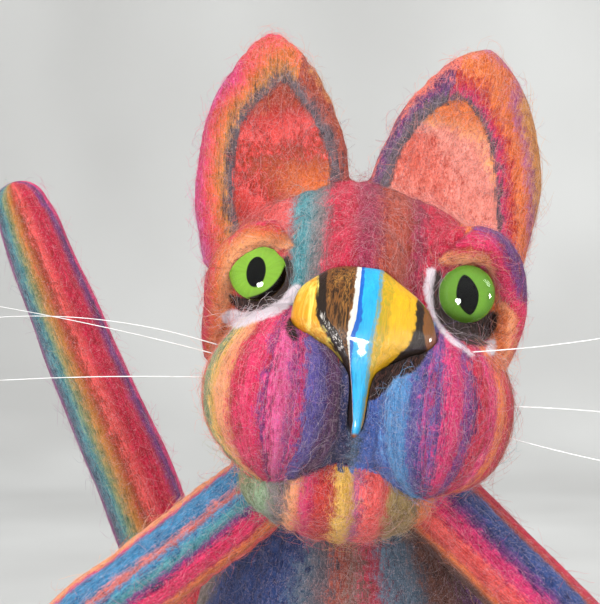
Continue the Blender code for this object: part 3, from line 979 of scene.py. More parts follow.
    def lids(self, points: np.ndarray, local: np.ndarray) -> Iterator[Region]:
        """Lay the rovings that are bent round the eyes, and end them before the bridge."""
        low, high = self.lid_side
        for lid, (name, way), stripes in zip(self.head.lids, SIDES.items(), (LID_LEFT, LID_RIGHT)):
            x, z = local[:, 0] - way * self.eye_side, local[:, 2]
            outward = way * x
            away = np.hypot(x, z) / MM
            own = np.stack([away, local[:, 1] / MM, 10.0 * np.arctan2(z, -outward)], axis=1)
            place = np.where(outward > 0.0, np.hypot(x, np.maximum(z, 0.0)) / MM, away)
            if way > 0:
                place = place - self.lid_shift * (1.0 - ease(z, *self.lid_under))
                back = self.lid_shift * ease(outward, *self.lid_outer)
                place = place + back * ease(z, *self.lid_outer_height)
            place = place - self.lid_inner_shift * ease(-outward, *self.lid_inner)
            end = self.lid_end + outward - self.lid_slope * np.maximum(z - self.lid_bend, 0.0)
            beside = np.minimum(np.minimum(outward - low, high - outward), np.minimum(z + self.lid_drop, -z))
            inside = np.maximum(self.lid_reach - lid.measure(points, self.head.frame).gap, beside)
            yield f"lid_{name}", stripes, np.minimum(inside, end), place, False, own

    def patches(self, local: np.ndarray) -> list[Layer]:
        """Lay the dark wool round the eyes and along the lower edges of the nose, and the white tufts under
        the eyes.
        """
        made = []
        for name, stripes, patches in (("tuft", TUFT, TUFTS), ("liner", LINER, LINERS)):
            inside = np.max([patch.depth(local) for patch in patches], axis=0)
            made.append(Layer(name, stripes, np.zeros(len(local)), inside))
        return made


@dataclass(frozen=True)
class Eye:
    """A glass cabochon eye: a clear dome over a painted disc."""

    diameter: float = 0.0140
    dome: float = 0.0042
    back: float = 0.0034
    sink: float = 0.0012
    turn: float = math.radians(9.0)
    pitch: tuple[float, float] = (math.radians(9.0), 0.0)
    open_ways: tuple[float, float] = (math.radians(-50.0), math.radians(-140.0))
    side: float = 0.0253
    fit: float = 0.0003
    disc_share: float = 0.97
    disc_depth: float = 0.0010
    shell: float = 0.0004
    bare: tuple[float, float] = (-0.0010, 0.0022)
    rim: tuple[float, float] = (0.0070, 0.0100)
    press_depth: tuple[float, float] = (-0.0004, -0.0045)
    press_reach: float = 0.015

    def frame(self, head: Head, way: int) -> Matrix:
        """Give the place of an eye: its middle is where the glass is widest, and its front is -Y."""
        y = head.skull.front(self.side, 0.0) + self.sink
        pitch = self.pitch[way > 0]
        return (head.frame @ Matrix.Translation((self.side * way, y, 0.0))
                @ Matrix.Rotation(self.turn * way, 4, "Z") @ Matrix.Rotation(-pitch, 4, "X"))

    def press(self, points: np.ndarray, head: Head, way: int) -> np.ndarray:
        """Press wool back where it would stand before the glass, away from the lid.

        Args:
            points: The wool's points.
            head: The head.
            way: The side of the eye.

        Returns:
            The points in their new places.
        """
        place = self.frame(head, way)
        local = moved(points, place.inverted())
        away = np.hypot(local[:, 0], local[:, 2])
        angle = self.open_ways[way > 0]
        bare = ease(local[:, 0] * math.cos(angle) + local[:, 2] * math.sin(angle), *self.bare)
        limit = np.interp(away, self.rim, self.press_depth)
        close = (away < self.rim[1]) & (np.abs(local[:, 1]) < self.press_reach)
        local[:, 1] += np.where(close, bare * np.maximum(limit - local[:, 1], 0.0), 0.0)
        return moved(local, place)

    def dish(self, name: str, place: Matrix, radius: float, front: float, back: float) -> bpy.types.Object:
        """Model a round form that is deeper on one side than on the other.

        Args:
            name: The name of the object.
            place: Its frame, with -Y in front.
            radius: Its radius.
            front: How far it stands forward of its widest place.
            back: How far it reaches behind that place.

        Returns:
            The finished object.
        """

        def shape(ball: np.ndarray) -> np.ndarray:
            """Press the unit sphere into the dish."""
            deep = np.where(ball[:, 2] > 0.0, front, back)
            pressed = np.stack([ball[:, 0] * radius, -ball[:, 2] * deep, ball[:, 1] * radius], axis=1)
            return moved(pressed, place)

        return reshaped_sphere(name, 64, shape)

    def cutter(self, head: Head, way: int) -> bpy.types.Object:
        """Model the hollow that the glass sits in."""
        grow = self.fit
        return self.dish("cutter", self.frame(head, way), 0.5 * self.diameter + grow, self.dome + grow,
                         self.back + grow)

    def build(self, head: Head, side: str, glass: bpy.types.Material, iris: bpy.types.Material) -> None:
        """Make one eye: the clear dome in place of the solid one, and its painted disc."""
        place = self.frame(head, SIDES[side])
        radius = 0.5 * self.diameter
        dome = self.dish(f"eye_glass_{side}", place, radius, self.dome, self.shell)
        finish(dome, glass, "eye_glass", f"eye_{side}")
        behind = place @ Matrix.Translation((0.0, self.disc_depth, 0.0))
        disc = self.dish(f"eye_disc_{side}", behind, radius * self.disc_share, self.shell,
                         self.back - self.sink)
        local = moved(read_points(disc), place.inverted()) / radius
        store(disc, "iris", local[:, (0, 2, 1)])
        finish(disc, iris, "eye_glass")


class Paint(Display):
    """The nose's paints."""

    AMBER = (252, 176, 30)
    YELLOW = (246, 186, 16)
    SOOT = (44, 30, 20)
    WOOD = (134, 84, 34)
    CHALK = (246, 242, 230)
    DEEP_BLUE = (16, 104, 204)
    SKY = (40, 186, 242)
    BROWN = (146, 90, 38)


P = Paint
NOSE_PAINT = Stripes(0, ((P.AMBER, 1), (P.SOOT, 2), (P.WOOD, 3), (P.CHALK, 4), (P.DEEP_BLUE, 5), (P.SKY, 6),
                         (P.YELLOW, 7), (P.SOOT, 8), (P.BROWN, 9)), 0.04)


@dataclass(frozen=True)
class Nose:
    """The painted nose: a broad body over a narrow stem.

    Each row of its outline is a drop below its top with the reach to the left and to the right there, and
    each row of its edges is a border between two paints at the drops of edge_drops, all in millimetres.
    """

    width: float = 0.0340
    height: float = 0.0412
    outline: tuple[Point, ...] = (
        (0.4, 6.6, 2.5), (1.6, 10.1, 4.2), (3.7, 12.9, 7.4), (6.5, 16.0, 11.5), (9.8, 17.4, 14.6),
        (14.1, 17.8, 16.3), (15.6, 17.2, 16.6), (17.1, 15.8, 16.4), (18.9, 12.5, 15.4), (20.4, 9.2, 12.0),
        (22.0, 6.6, 7.8), (24.7, 4.2, 4.1), (28.1, 2.9, 2.6), (35.7, 1.9, 2.0), (38.7, 1.2, 1.4),
        (41.0, 0.2, 0.2))
    first_ring: float = 0.01
    rings_reach: float = 0.975
    profile_roundness: float = 0.35
    even_share: float = 0.55
    full_share: float = 0.45
    front_roundness: float = 0.8
    back_roundness: float = 0.5
    thickness: float = 0.0080
    back: float = 0.0009
    sink: float = 0.0026
    tilt: float = math.radians(13.0)
    lean: float = math.radians(1.1)
    top: float = 0.0036
    fit: float = 0.0003
    end_band: float = 6.0
    edge_drops: tuple[float, ...] = (2.2, 8.3, 14.4, 18.9, 23.5, 29.6, 37.2)
    edges: tuple[tuple[float, ...], ...] = (
        (-12.8, -12.6, -11.9, -8.9, -4.9, -3.2, -1.9), (-10.7, -10.3, -9.7, -5.6, -3.2, -1.9, -0.7),
        (-3.6, -3.7, -4.1, -4.3, -3.1, -1.85, -0.68), (-2.7, -2.75, -2.8, -3.8, -3.0, -1.8, -0.66),
        (-2.2, -2.1, -1.7, -3.0, -2.9, -1.75, -0.64), (2.4, 2.6, 2.0, 1.6, 1.9, 1.9, 1.45),
        (12.5, 10.8, 11.3, 9.9, 5.5, 2.3, 1.8), (13.5, 12.6, 12.6, 14.5, 8.0, 4.0, 3.0))

    def frame(self, head: Head) -> Matrix:
        """Give the place of the middle of the nose's top edge."""
        y = head.bridge.front(head.muzzle_shift, self.top) + self.sink
        return (head.frame @ Matrix.Translation((head.muzzle_shift, y, self.top))
                @ Matrix.Rotation(self.lean, 4, "Y") @ Matrix.Rotation(-self.tilt, 4, "X"))

    def sides(self, drop: np.ndarray) -> tuple[np.ndarray, np.ndarray]:
        """Give how far the nose reaches to its left and to its right at drops below its top."""
        rows = smooth_path(self.outline, 5) * MM
        return np.interp(drop, rows[:, 0], rows[:, 1]), np.interp(drop, rows[:, 0], rows[:, 2])

    def model(self, name: str, head: Head, grow: float = 0.0) -> bpy.types.Object:
        """Model the nose from a round primitive, rounded in front and nearly flat behind."""

        def shape(ball: np.ndarray) -> np.ndarray:
            """Draw the unit sphere out into the nose."""
            share = self.first_ring + self.rings_reach * np.arccos(np.clip(ball[:, 2], -1.0, 1.0)) / math.pi
            drop = self.height * share
            left, right = self.sides(drop)
            angle = np.arctan2(-ball[:, 1], ball[:, 0])
            half = np.where(np.cos(angle) > 0.0, right, left)
            rise = np.abs(np.sin(angle))
            even = self.even_share * np.sin(math.pi * share) ** self.profile_roundness
            bulge = even + self.full_share * (left + right) / self.width
            front = -(self.thickness * bulge + grow) * rise ** self.front_roundness
            y = np.where(angle > 0.0, front, (self.back + grow) * rise ** self.back_roundness)
            skin = np.stack([(half + grow) * np.cos(angle), y, -drop], axis=1)
            skin[:, :2] *= (np.hypot(ball[:, 0], ball[:, 1]) > 1e-4)[:, None]
            return moved(skin, self.frame(head))

        return reshaped_sphere(name, 112, shape)

    def paint_place(self, local: np.ndarray) -> np.ndarray:
        """Find which band of paint each point lies in.

        Args:
            local: The points in the nose's frame.

        Returns:
            The band's number from the nose's left, with the share of its width that is passed.
        """
        drop = -local[:, 2] / MM
        edges = [np.interp(drop, self.edge_drops, row) for row in self.edges]
        edges = [edges[0] - self.end_band, *edges, edges[-1] + self.end_band]
        place = np.zeros(len(drop))
        for number, (low, high) in enumerate(zip(edges, edges[1:])):
            share = (local[:, 0] / MM - low) / (high - low)
            place = np.where(share >= 0.0, number + np.minimum(share, 1.0), place)
        return place

    def build(self, head: Head, paint: bpy.types.Material) -> None:
        """Make the nose that stands for the plain one."""
        nose = self.model("painted_nose", head)
        local = moved(read_points(nose), self.frame(head).inverted())
        store(nose, "paint", self.paint_place(local))
        store(nose, "grain", local / MM)
        finish(nose, paint, "nose_lacquer", "nose")


def finish(piece: bpy.types.Object, material: bpy.types.Material, slot: str, *nodes: str) -> None:
    """Dress a piece, hang it under the root and hide the frame's nodes that it stands for.

    Args:
        piece: The finished piece.
        material: Its material.
        slot: Not used.
        nodes: The frame's nodes that it stands for.
    """
    piece.data.materials.clear()
    piece.data.materials.append(material)
    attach(piece, "root")
    if nodes:
        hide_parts(*nodes)
    LOG.info("%s: %d faces", piece.name, len(piece.data.polygons))


@dataclass(frozen=True)
class Felt:
    """The felted body: how its wool is worked."""

    grain: float = 0.0009
    rounding: int = 8
    keep_faces: float = 0.435
    head_reach: float = 0.080
    head_weight: float = 0.35
    groove_depth: float = 0.00035
    tuft_rise: float = 0.0006
    liner_sink: float = 0.0003
    edge: float = 0.0008
    lump_height: float = 0.0005
    lump_size: float = 0.011
    grooves: tuple[tuple[str, float], ...] = (
        ("pad_left", 2.2), ("pad_right", 2.2), ("chin", 0.8), ("arm_left", 5.0), ("arm_right", 5.0),
        ("face", 0.9), ("torso", 1.5), ("tail", 4.0))

    def build(self, head: Head, figure: Figure, dressing: Dressing) -> bpy.types.Object:
        """Felt every form into one body, work its surface and make room for the eyes and the nose."""
        felt = join(head.build() + figure.build(), "cat_wool")
        apply_modifier(felt, "REMESH", mode="VOXEL", voxel_size=self.grain)
        apply_modifier(felt, "SMOOTH", factor=0.5, iterations=self.rounding)
        self.work(felt, dressing)
        self.thin_out(felt, head)
        self.flatten(felt)
        cutters = [EYE.cutter(head, way) for way in SIDES.values()]
        cutters.append(NOSE.model("cutter", head, NOSE.fit))
        for cutter in cutters:
            apply_modifier(felt, "BOOLEAN", operation="DIFFERENCE", object=cutter)
            bpy.data.objects.remove(cutter, do_unlink=True)
        apply_modifier(felt, "TRIANGULATE")
        choose([felt])
        bpy.ops.object.shade_smooth()
        return felt

    def work(self, felt: bpy.types.Object, dressing: Dressing) -> None:
        """Press grooves between the rovings, raise the tufts and leave the hand's unevenness."""
        points = read_points(felt)
        layers, _ = dressing.layers(points)
        named = {layer.name: layer for layer in layers}
        rise = np.zeros(len(points))
        for name, wide in self.grooves:
            rise -= self.groove_depth * named[name].grooves(wide)
        rise += self.tuft_rise * ease(named["tuft"].inside, -self.edge, self.edge)
        rise -= self.liner_sink * ease(named["liner"].inside, -0.5 * MM, self.edge)
        rise += self.lump_height * soft_noise(points / self.lump_size)
        points = points + read_points(felt, "normal") * rise[:, None]
        for way in SIDES.values():
            points = EYE.press(points, dressing.head, way)
        write_points(felt, points)

    def thin_out(self, felt: bpy.types.Object, head: Head) -> None:
        """Take faces out, fewer of them on the head."""
        away = np.linalg.norm(moved(read_points(felt), head.frame.inverted()), axis=1)
        weights = np.where(away < self.head_reach, self.head_weight, 1.0)
        group = felt.vertex_groups.new(name="plain")
        for weight in np.unique(weights):
            group.add(np.nonzero(weights == weight)[0].tolist(), float(weight), "REPLACE")
        apply_modifier(felt, "DECIMATE", ratio=self.keep_faces, vertex_group="plain")
        felt.vertex_groups.clear()

    def flatten(self, felt: bpy.types.Object) -> None:
        """Cut the underside flat where it rests."""
        edit(felt, bpy.ops.mesh.bisect, plane_co=(0, 0, 0), plane_no=(0, 0, 1), use_fill=True,
             clear_inner=True)


def soft_noise(places: np.ndarray) -> np.ndarray:
    """Give a smooth pattern of waves that doesn't repeat within the cat, from -1 to 1.

    Args:
        places: Points, in lengths of the pattern.

    Returns:
        One value for each point.
    """
    total = np.zeros(len(places))
    for turn, way in enumerate(((1.0, 0.7, -0.4), (-0.6, 1.1, 0.5), (0.3, -0.8, 1.2), (1.3, 0.2, 0.9))):
        total += np.sin(2.3 * places @ np.array(way) + 1.7 * turn)
    return 0.25 * total


EYE = Eye()
NOSE = Nose()


class Graph:
    """A node tree that is written as a list of nodes."""

    def __init__(self, tree: bpy.types.NodeTree) -> None:
        """Hold the tree."""
        self.tree = tree

    def add(self, kind: str, inputs: dict | None = None, **settings: object) -> bpy.types.Node:
        """Add a node.

        Args:
            kind: Blender's name for the kind of node.
            inputs: A value or another node's output for each input that is set, by name or number.
            settings: Values for the node's own properties.

        Returns:
            The node.
        """
        node = self.tree.nodes.new(kind)
        for key, value in settings.items():
            setattr(node, key, value)
        self.plug(node, inputs or {})
        return node

    def plug(self, node: bpy.types.Node, inputs: dict) -> None:
        """Set a node's inputs to values or to other nodes' outputs."""
        for key, value in inputs.items():
            if isinstance(value, bpy.types.NodeSocket):
                self.tree.links.new(value, node.inputs[key])
            else:
                node.inputs[key].default_value = value

    def group(self, tree: bpy.types.NodeTree, place: object, width: float,
              length: float) -> Sequence[bpy.types.NodeSocket]:
        """Add the group that draws streaks and give its fine streaks, their bundles and their mask."""
        node = self.add("ShaderNodeGroup", node_tree=tree)
        self.plug(node, {"Place": place, "Width": width, "Length": length})
        return node.outputs

    def math(self, operation: str, *values: object) -> bpy.types.NodeSocket:
        """Add a sum of one or two numbers and give its result."""
        return self.add("ShaderNodeMath", dict(enumerate(values)), operation=operation).outputs[0]

    def centred(self, value: object, reach: float) -> bpy.types.NodeSocket:
        """Turn a number from 0 to 1 into one that lies as far below 0 as above it."""
        return self.math("MULTIPLY", self.math("SUBTRACT", value, 0.5), reach)

    def vector(self, operation: str, inputs: dict) -> bpy.types.NodeSocket:
        """Add a sum of vectors and give its result."""
        return self.add("ShaderNodeVectorMath", inputs, operation=operation).outputs[0]

    def scaled(self, colour: object, share: object) -> bpy.types.NodeSocket:
        """Make a colour brighter or darker by a number."""
        return self.vector("SCALE", {0: colour, "Scale": share})

    def split(self, vector: object) -> Sequence[bpy.types.NodeSocket]:
        """Take a vector apart into its three numbers."""
        return self.add("ShaderNodeSeparateXYZ", {0: vector}).outputs

    def stored(self, name: str, output: str = "Vector") -> bpy.types.NodeSocket:
        """Read what is kept at the mesh's points under a name."""
        return self.add("ShaderNodeAttribute", attribute_name=name).outputs[output]

    def object_place(self) -> bpy.types.NodeSocket:
        """Give the place in the object's own space."""
        return self.add("ShaderNodeTexCoord").outputs["Object"]

    def noise(self, place: object, scale: float, detail: float = 2.0, roughness: float = 0.5,
              distortion: float = 0.0) -> bpy.types.NodeSocket:
        """Add a cloudy pattern and give its value."""
        inputs = {"Vector": place, "Scale": scale, "Detail": detail, "Roughness": roughness,
                  "Distortion": distortion}
        return self.add("ShaderNodeTexNoise", inputs).outputs[0]

    def fit(self, value: object, low: float, high: float, to_low: float = 0.0, to_high: float = 1.0,
            smooth: bool = False) -> bpy.types.NodeSocket:
        """Fit a range of numbers to another one and give the result."""
        node = self.add("ShaderNodeMapRange", {0: value, 1: low, 2: high, 3: to_low, 4: to_high})
        if smooth:
            node.interpolation_type = "SMOOTHSTEP"
        return node.outputs[0]

    def near(self, value: object, middle: float, reach: float, full: float = 0.8) -> bpy.types.NodeSocket:
        """Give a mask that is 1 round a value, out to a share of the reach, and falls to 0 at its reach."""
        away = self.math("ABSOLUTE", self.math("SUBTRACT", value, middle))
        return self.fit(away, full * reach, reach, 1.0, 0.0)

    def total(self, *parts: tuple[object, float]) -> bpy.types.NodeSocket:
        """Add numbers up, each times its share, and give the result."""
        found, *others = (self.math("MULTIPLY", value, share) for value, share in parts)
        for part in others:
            found = self.math("ADD", found, part)
        return found

    def bump(self, height: object, strength: float, distance: float) -> bpy.types.NodeSocket:
        """Turn a height into a normal and give it."""
        inputs = {"Strength": strength, "Distance": distance, "Height": height}
        return self.add("ShaderNodeBump", inputs).outputs[0]

    def mix(self, share: object, under: object, over: object) -> bpy.types.NodeSocket:
        """Mix two colours and give the result."""
        node = self.add("ShaderNodeMix", data_type="RGBA")
        colours = [(*colour, 1.0) if isinstance(colour, tuple) else colour for colour in (under, over)]
        self.plug(node, {0: share, 6: colours[0], 7: colours[1]})
        return node.outputs[2]

    def ramp(self, value: object, stripes: Stripes) -> bpy.types.NodeSocket:
        """Look a number from 0 to 1 up in stripes and give the colour."""
        node = self.add("ShaderNodeValToRGB", {0: value})
        stripes.fill(node.color_ramp)
        return node.outputs[0]


def new_material(name: str) -> tuple[bpy.types.Material, Graph, bpy.types.Node]:
    """Make a material with a shader.

    Args:
        name: Its name.

    Returns:
        The material, its node graph and its shader.
    """
    material = bpy.data.materials.new(name)
    material.use_nodes = True
    return material, Graph(material.node_tree), material.node_tree.nodes["Principled BSDF"]


def streak_group() -> bpy.types.NodeTree:
    """Make the group that draws streaks along fibres, brush hairs or grain.

    Returns:
        A group that takes a place with Z along the streaks, and the width and the length of a streak,
        and gives three values from 0 to 1: fine streaks, the broader bundles that they lie in, and a mask
        of streaks between the two.
    """
    tree = bpy.data.node_groups.new("streaks", "ShaderNodeTree")
    for way, kind, names in (("INPUT", "Vector", ("Place",)), ("INPUT", "Float", ("Width", "Length")),
                             ("OUTPUT", "Float", ("Fine", "Bundle", "Mask"))):
        for name in names:
            tree.interface.new_socket(name, in_out=way, socket_type=f"NodeSocket{kind}")
    graph = Graph(tree)
    given = graph.add("NodeGroupInput").outputs
    width = given["Width"]
    size = graph.add("ShaderNodeCombineXYZ", {0: width, 1: width, 2: given["Length"]}).outputs[0]
    place = graph.vector("DIVIDE", {0: given["Place"], 1: size})
    beside = graph.vector("ADD", {0: place, 1: (31.0, 17.0, 53.0)})
    fine = graph.noise(place, scale=1.0, detail=3.0, roughness=0.65, distortion=0.9)
    broad = graph.noise(place, scale=0.22, detail=3.0, roughness=0.6, distortion=0.7)
    single = graph.noise(beside, scale=0.62, detail=3.0, roughness=0.6, distortion=0.9)
    graph.add("NodeGroupOutput", {"Fine": graph.fit(fine, 0.28, 0.72), "Bundle": graph.fit(broad, 0.28, 0.72),
                                  "Mask": graph.fit(single, 0.32, 0.68)})
    return tree


@dataclass(frozen=True)
class WoolFinish:
    """The finish of the felted wool: how wide its fibres are and how far the dyes run into one another."""

    fibre_width: float = 0.26
    fibre_length: float = 2.4
    wander: float = 3.2
    wander_angle: float = 13.0
    edge_wander: float = 1.5
    deep: float = 0.58
    bright: float = 1.36
    pale: Colour = (0.95, 0.70, 0.74)
    dark: Colour = (0.050, 0.015, 0.040)
    ground: Colour = (0.5, 0.5, 0.5)
    bump: float = 0.7
    bump_height: float = 0.00035
    fuzz: float = 0.16
    wisp: float = 0.0015
    wisp_reach: float = 1.7
    blotch: float = 0.0030
    blotch_reach: float = 1.5
    hair: float = 0.0016
    hair_width: float = 0.018
    hair_starts: tuple[float, ...] = (0.0, 0.37, 0.71)
    hair_shares: tuple[float, ...] = (0.22, 0.20, 0.42)
    soft_edge: float = 0.45
    crisp_edge: float = 0.3
    plain: tuple[str, ...] = ("tuft", "liner")

    def build(self, layers: Sequence[Layer], streaks: bpy.types.NodeTree) -> bpy.types.Material:
        """Make the material that lays every region's rovings.

        Args:
            layers: The regions from the lowest to the topmost.
            streaks: The group that draws the fibres.

        Returns:
            The material.
        """
        material, graph, shader = new_material("dyed_wool")
        place, object_place = graph.stored("grain"), graph.object_place()
        fine, bundle, mask = graph.group(streaks, place, self.fibre_width, self.fibre_length)
        blotch = graph.noise(object_place, 1.0 / self.blotch, detail=4.0, roughness=0.62, distortion=0.8)
        stray = graph.centred(blotch, self.blotch_reach)
        drifts = [graph.math("ADD", graph.math("SUBTRACT", value, 0.5), stray) for value in (bundle, fine)]
        wisps = graph.noise(object_place, 1.0 / self.wisp, detail=4.0, roughness=0.65, distortion=1.2)
        wisps = graph.centred(wisps, self.wisp_reach)
        colour = self.ground
        for layer in layers:
            if layer.name not in self.plain:
                colour = self.lay(graph, layer, colour, drifts, mask)
        shade = graph.total((fine, 0.45), (bundle, 0.25), (blotch, 0.6))
        deep = graph.scaled(graph.vector("MULTIPLY", {0: colour, 1: colour}), self.deep)
        streaked = graph.mix(graph.fit(shade, 0.34, 0.92), deep, graph.scaled(colour, self.bright))
        clouds = graph.noise(place, scale=0.9, detail=4.0, roughness=0.7)
        fuzz = graph.fit(graph.math("MULTIPLY", clouds, fine), 0.36, 0.62, 0.0, self.fuzz, smooth=True)
        streaked = graph.mix(fuzz, streaked, self.pale)
        for start, share, tone in zip(self.hair_starts, self.hair_shares, (self.pale, self.pale, self.dark)):
            streaked = graph.mix(graph.math("MULTIPLY", self.hairs(graph, start), share), streaked, tone)
        for layer in layers:
            if layer.name in self.plain:
                streaked = self.lay_tuft(graph, layer, streaked, wisps, fine)
        relief = graph.math("ADD", fine, graph.math("MULTIPLY", bundle, 1.4))
        bump = graph.bump(relief, self.bump, self.bump_height)
        graph.plug(shader, {"Base Color": streaked, "Normal": bump, "Roughness": 0.9, "Specular IOR Level": 0.2,
                            "Sheen Weight": 0.12, "Sheen Roughness": 0.4})
        return material

    def hairs(self, graph: Graph, start: float) -> bpy.types.NodeSocket:
        """Draw fine curly hairs that lie flat on the wool.

        Args:
            graph: The material's nodes.
            start: Where in the pattern the hairs are taken from.

        Returns:
            A mask that is 1 on a hair.
        """
        place = graph.vector("ADD", {0: graph.object_place(), 1: (start, 0.4 * start, 0.0)})
        folds = graph.noise(place, 1.0 / self.hair, detail=1.0, roughness=0.4, distortion=1.6)
        return graph.near(folds, 0.5, self.hair_width, 0.3)

    def lay_tuft(self, graph: Graph, layer: Layer, under: object, wisps: bpy.types.NodeSocket,
                 fine: bpy.types.NodeSocket) -> object:
        """Lay wool of a plain colour with a soft, wispy edge.

        Args:
            graph: The material's nodes.
            layer: The region.
            under: The colour so far.
            wisps: How far the edge strays, in millimetres.
            fine: The streaks of the fibres.

        Returns:
            The colour with the region on it.
        """
        inside = graph.split(graph.stored(layer.name))[2]
        colour = graph.mix(graph.fit(fine, 0.45, 0.95), *(dye.linear for dye, _ in layer.stripes.bands))
        edge = graph.math("ADD", inside, wisps)
        return graph.mix(graph.fit(edge, -self.soft_edge, self.soft_edge, smooth=True), under, colour)

    def lay(self, graph: Graph, layer: Layer, under: object, drifts: Sequence[bpy.types.NodeSocket],
            mask: bpy.types.NodeSocket) -> object:
        """Lay one region over the colours under it.

        Args:
            graph: The material's nodes.
            layer: The region.
            under: The colour so far.
            drifts: How far bundles and single fibres stray sideways, each from -0.5 to 0.5.
            mask: Where the single fibres cover the bundles.

        Returns:
            The colour with the region on it.
        """
        place, sine, inside = graph.split(graph.stored(layer.name))
        stripes = layer.stripes
        reach = min(self.wander, 0.35 * (stripes.end - stripes.start))
        if layer.round:
            place = graph.math("MULTIPLY", graph.math("ARCTAN2", sine, place), math.degrees(1.0))
            reach = self.wander_angle
        colours = []
        for drift, share in zip(drifts, (0.8, 1.5)):
            strayed = graph.math("ADD", place, graph.math("MULTIPLY", drift, reach * share))
            colours.append(graph.ramp(graph.fit(strayed, stripes.start, stripes.end), stripes))
        edge = graph.math("ADD", inside, graph.math("MULTIPLY", drifts[0], self.edge_wander))
        laid = graph.mix(mask, *colours)
        return graph.mix(graph.fit(edge, -self.crisp_edge, self.crisp_edge, smooth=True), under, laid)


@dataclass(frozen=True)
class FibreFinish:
    """The finish of the loose fibres: each takes its colour from the wool that it stands in."""

    def build(self) -> bpy.types.Material:
        """Make the material, which reads the fibre's own colour."""
        material, graph, shader = new_material("loose_fibre")
        tone = graph.noise(graph.object_place(), scale=900.0, detail=1.0)
        colour = graph.scaled(graph.stored("fibre_colour", "Color"), graph.fit(tone, 0.2, 0.8, 0.8, 1.15))
        graph.plug(shader, {"Base Color": colour, "Roughness": 0.55, "Specular IOR Level": 0.35,
                            "Sheen Weight": 0.3})
        return material


@dataclass(frozen=True)
class GlassFinish:
    """Clear glass for the eyes' domes."""

    def build(self) -> bpy.types.Material:
        """Make the glass from plain values."""
        material, graph, shader = new_material("clear_glass")
        graph.plug(shader, {"Base Color": (1.0, 1.0, 1.0, 1.0), "Roughness": 0.0, "IOR": 1.38,
                            "Transmission Weight": 1.0, "Metallic": 0.0})
        return material


@dataclass(frozen=True)
class IrisFinish:
    """The painted disc behind the glass: a green iris, darker at its rim, and a slit pupil.

    Places and sizes on it are shares of its radius. What is covered lies outside an oval, given by the angle
    of its long side, its reach and its half-width.
    """

    green: Colour
    rim: Colour
    pupil_middle: tuple[float, float]
    pupil_size: tuple[float, float]
    pupil_turn: float
    pointed: float
    covered: tuple[float, float, float]

    def build(self, name: str, streaks: bpy.types.NodeTree) -> bpy.types.Material:
        """Make the disc's material.

        Args:
            name: The material's name.
            streaks: The group that draws fine streaks.

        Returns:
            The material.
        """
        material, graph, shader = new_material(name)
        place = graph.stored("iris")
        x, z, _ = graph.split(place)
        away = graph.add("ShaderNodeVectorMath", {0: place}, operation="LENGTH").outputs["Value"]
        turn = graph.math("MULTIPLY", graph.math("ARCTAN2", z, x), 9.0)
        out = graph.math("MULTIPLY", away, 2.0)
        spokes = graph.add("ShaderNodeCombineXYZ", {0: turn, 2: out}).outputs[0]
        lines, _, _ = graph.group(streaks, spokes, 0.7, 1.6)
        green = graph.mix(graph.fit(away, 0.55, 1.0, smooth=True), self.green, self.rim)
        green = graph.scaled(green, graph.fit(lines, 0.0, 1.0, 0.86, 1.08))
        centred = graph.vector("SUBTRACT", {0: place, 1: (*self.pupil_middle, 0.0)})
        across, up = self.turned(graph, centred, self.pupil_turn)
        shares = [graph.math("DIVIDE", graph.math("ABSOLUTE", value), size)
                  for value, size in zip((across, up), self.pupil_size)]
        wide, tall = (graph.math("POWER", share, self.pointed) for share in shares)
        pupil = graph.fit(graph.math("ADD", wide, tall), 0.96, 1.10, 1.0, 0.0, smooth=True)
        colour = graph.mix(pupil, green, (0.001, 0.001, 0.001))
        angle, reach, width = self.covered
        along, side = self.turned(graph, place, angle)
        along = graph.math("ADD", along, 1.0 - reach)
        side = graph.math("DIVIDE", graph.math("ABSOLUTE", side), width)
        shape = graph.math("ADD", graph.math("MULTIPLY", along, along), graph.math("POWER", side, 2.0))
        colour = graph.mix(graph.fit(shape, 0.94, 1.04, smooth=True), colour, (0.004, 0.003, 0.003))
        graph.plug(shader, {"Base Color": colour, "Roughness": 0.6, "Specular IOR Level": 0.0})
        return material

    def turned(self, graph: Graph, place: object, angle: float) -> Sequence[bpy.types.NodeSocket]:
        """Turn places on the disc and give the two numbers of each."""
        node = graph.add("ShaderNodeVectorRotate", {"Vector": place, "Angle": angle}, rotation_type="Z_AXIS")
        return graph.split(node.outputs[0])[:2]


# The left iris is painted lighter and the right iris darker. Both eyes are the same glass, so the difference
# is painted light and shade, with the left eye facing the light.
IRISES = {
    "left": IrisFinish(green=(0.31, 0.60, 0.06), rim=(0.22, 0.48, 0.04), pupil_middle=(-0.05, 0.0),
                       pupil_size=(0.29, 0.46), pupil_turn=0.02, pointed=2.0,
                       covered=(math.radians(42.0), 0.60, 1.08)),
    "right": IrisFinish(green=(0.16, 0.36, 0.035), rim=(0.09, 0.24, 0.02), pupil_middle=(0.02, -0.02),
                        pupil_size=(0.34, 0.60), pupil_turn=-0.27, pointed=1.65,
                        covered=(math.radians(140.0), 0.88, 1.06)),
}


